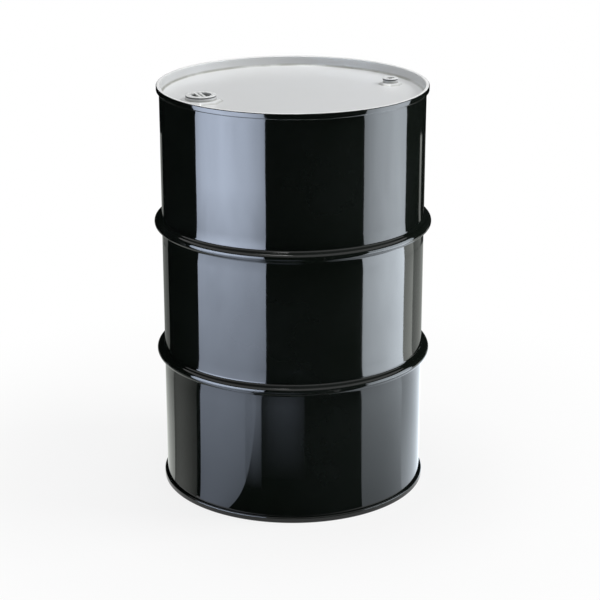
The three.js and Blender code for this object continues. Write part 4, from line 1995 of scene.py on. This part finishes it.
    def cards(self) -> None:
        """Dark cards all round, with the glowing cloths on them, which only the gloss shows."""
        s = Shade("dark_card")
        s.finish(Base_Color=self.dark, Roughness=1.0, Specular_IOR_Level=0.0)
        level, circle, screen = self.dark_level, self.circle, self.screen_radius
        hole, reach = circle(self.dark_hole, level), circle(self.dark_reach, level)
        self.flat("dark_floor", hole, reach, s.material)
        self.flat("dark_screen", circle(screen, 0.0), circle(screen, self.screen_height), s.material)
        for sheet in self.sheets():
            count = max(3, round(abs(sheet.end - sheet.start) / self.cloth_step) + 1)
            shares = [i / (count - 1) for i in range(count)]
            turns = [sheet.start + (sheet.end - sheet.start) * u for u in shares]
            material = self.glow(sheet)
            slanted = [t + u * sheet.slant for t, u in zip(turns, shares)]
            near = [self.mirrored(t, sheet.near, self.cloth_level) for t in slanted]
            far, foot, head = (
                [self.mirrored(t, sheet.far, z) for t in turns]
                for z in (self.cloth_level, 0.0, self.panel_height)
            )
            self.flat(sheet.name, near, far, material)
            if sheet.panel:
                self.flat(sheet.name + "_panel", foot, head, material)

    def lamp(self, name: str, at: Place, aim: Place, size: Point, power: float, gloss: bool) -> None:
        """A soft rectangular lamp.

        Args:
            name: its name.
            at: where it hangs.
            aim: what it points at.
            size: its width and height.
            power: in watts.
            gloss: whether the gloss shows it.
        """
        light = bpy.data.lights.new(name, "AREA")
        light.shape = "RECTANGLE"
        light.size, light.size_y = size
        light.energy = power
        obj = bpy.data.objects.new(name, light)
        bpy.context.scene.collection.objects.link(obj)
        obj.location = at
        obj.rotation_euler = (Vector(aim) - Vector(at)).to_track_quat("-Z", "Y").to_euler()
        obj.visible_camera = False
        obj.visible_glossy = gloss

    def sky(self) -> None:
        """A dim even room, which the camera, the gloss and glass see as the pale backdrop."""
        world = bpy.data.worlds.new("room")
        bpy.context.scene.world = world
        world.use_nodes = True
        tree = Tree(world.node_tree)
        background = world.node_tree.nodes["Background"].inputs
        strength = tree.node("ShaderNodeMapRange", {0: self.seen(tree), 3: self.room, 4: 1.0}).outputs[0]
        tree.put(background["Strength"], strength)
        tree.put(background["Color"], rgb(1.0, 1.0, 1.0))

    def camera(self) -> None:
        """The camera, above the front and looking down a little."""
        data = bpy.data.cameras.new("camera")
        data.sensor_width = 36.0
        data.lens = self.focal
        data.clip_end = 60.0
        obj = bpy.data.objects.new("camera", data)
        bpy.context.scene.collection.objects.link(obj)
        obj.location = self.camera_place
        obj.rotation_euler = (math.pi / 2 - self.camera_pitch, 0.0, -self.camera_yaw)
        bpy.context.scene.camera = obj

    def build(self) -> None:
        """Sets the whole studio up."""
        self.floor()
        self.cards()
        self.lamp("key", self.key_place, self.key_aim, self.key_size, self.key_power, True)
        self.lamp("side", self.side_place, self.side_aim, self.side_size, self.side_power, False)
        self.sky()
        self.camera()
        bpy.context.scene.view_settings.view_transform = "Standard"


def main() -> None:
    """Builds the drum piece by piece and sets up the studio."""
    logging.basicConfig(level=logging.INFO, format="%(name)s: %(message)s")
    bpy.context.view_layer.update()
    seam = Seam()
    sheet_tree, thread_tree = TurnedSheet(), ThreadRidge()
    black = BlackEnamel()
    rubber = Rubber("gasket_rubber", rgb(0.028, 0.028, 0.030), rgb(0.060, 0.060, 0.062), 0.62)
    compound = Rubber("seam_compound", rgb(0.15, 0.16, 0.12), rgb(0.20, 0.21, 0.17), 0.75)
    fill = Closure(
        name="fill",
        thread_radius=29.807 * MM,
        thread_depth=1.479 * MM,
        pitch=2.309 * MM,
        seat_margin=7.493 * MM,
        skirt_wall=1.8 * MM,
        cup_wall=1.8 * MM,
        skirt_gap=2.928 * MM,
        cup_depth=10.0 * MM,
    )
    vent = Closure(
        name="vent",
        thread_radius=13.221 * MM,
        thread_depth=1.162 * MM,
        pitch=1.814 * MM,
        seat_margin=3.579 * MM,
        skirt_wall=1.0 * MM,
        cup_wall=1.0 * MM,
        skirt_gap=0.759 * MM,
        cup_depth=8.0 * MM,
    )
    Body(seam, black, sheet_tree, WeldBead()).build()
    TopHead(seam, (fill, vent), WhiteEnamel()).build()
    Ends(seam, black, compound, sheet_tree).build()
    for kind, closure in ((FillPieces, fill), (VentPieces, vent)):
        kind(closure, PlugEnamel(), ZincPlate(), rubber, sheet_tree, thread_tree).build()
    Studio().build()


if __name__ == "__main__":
    main()
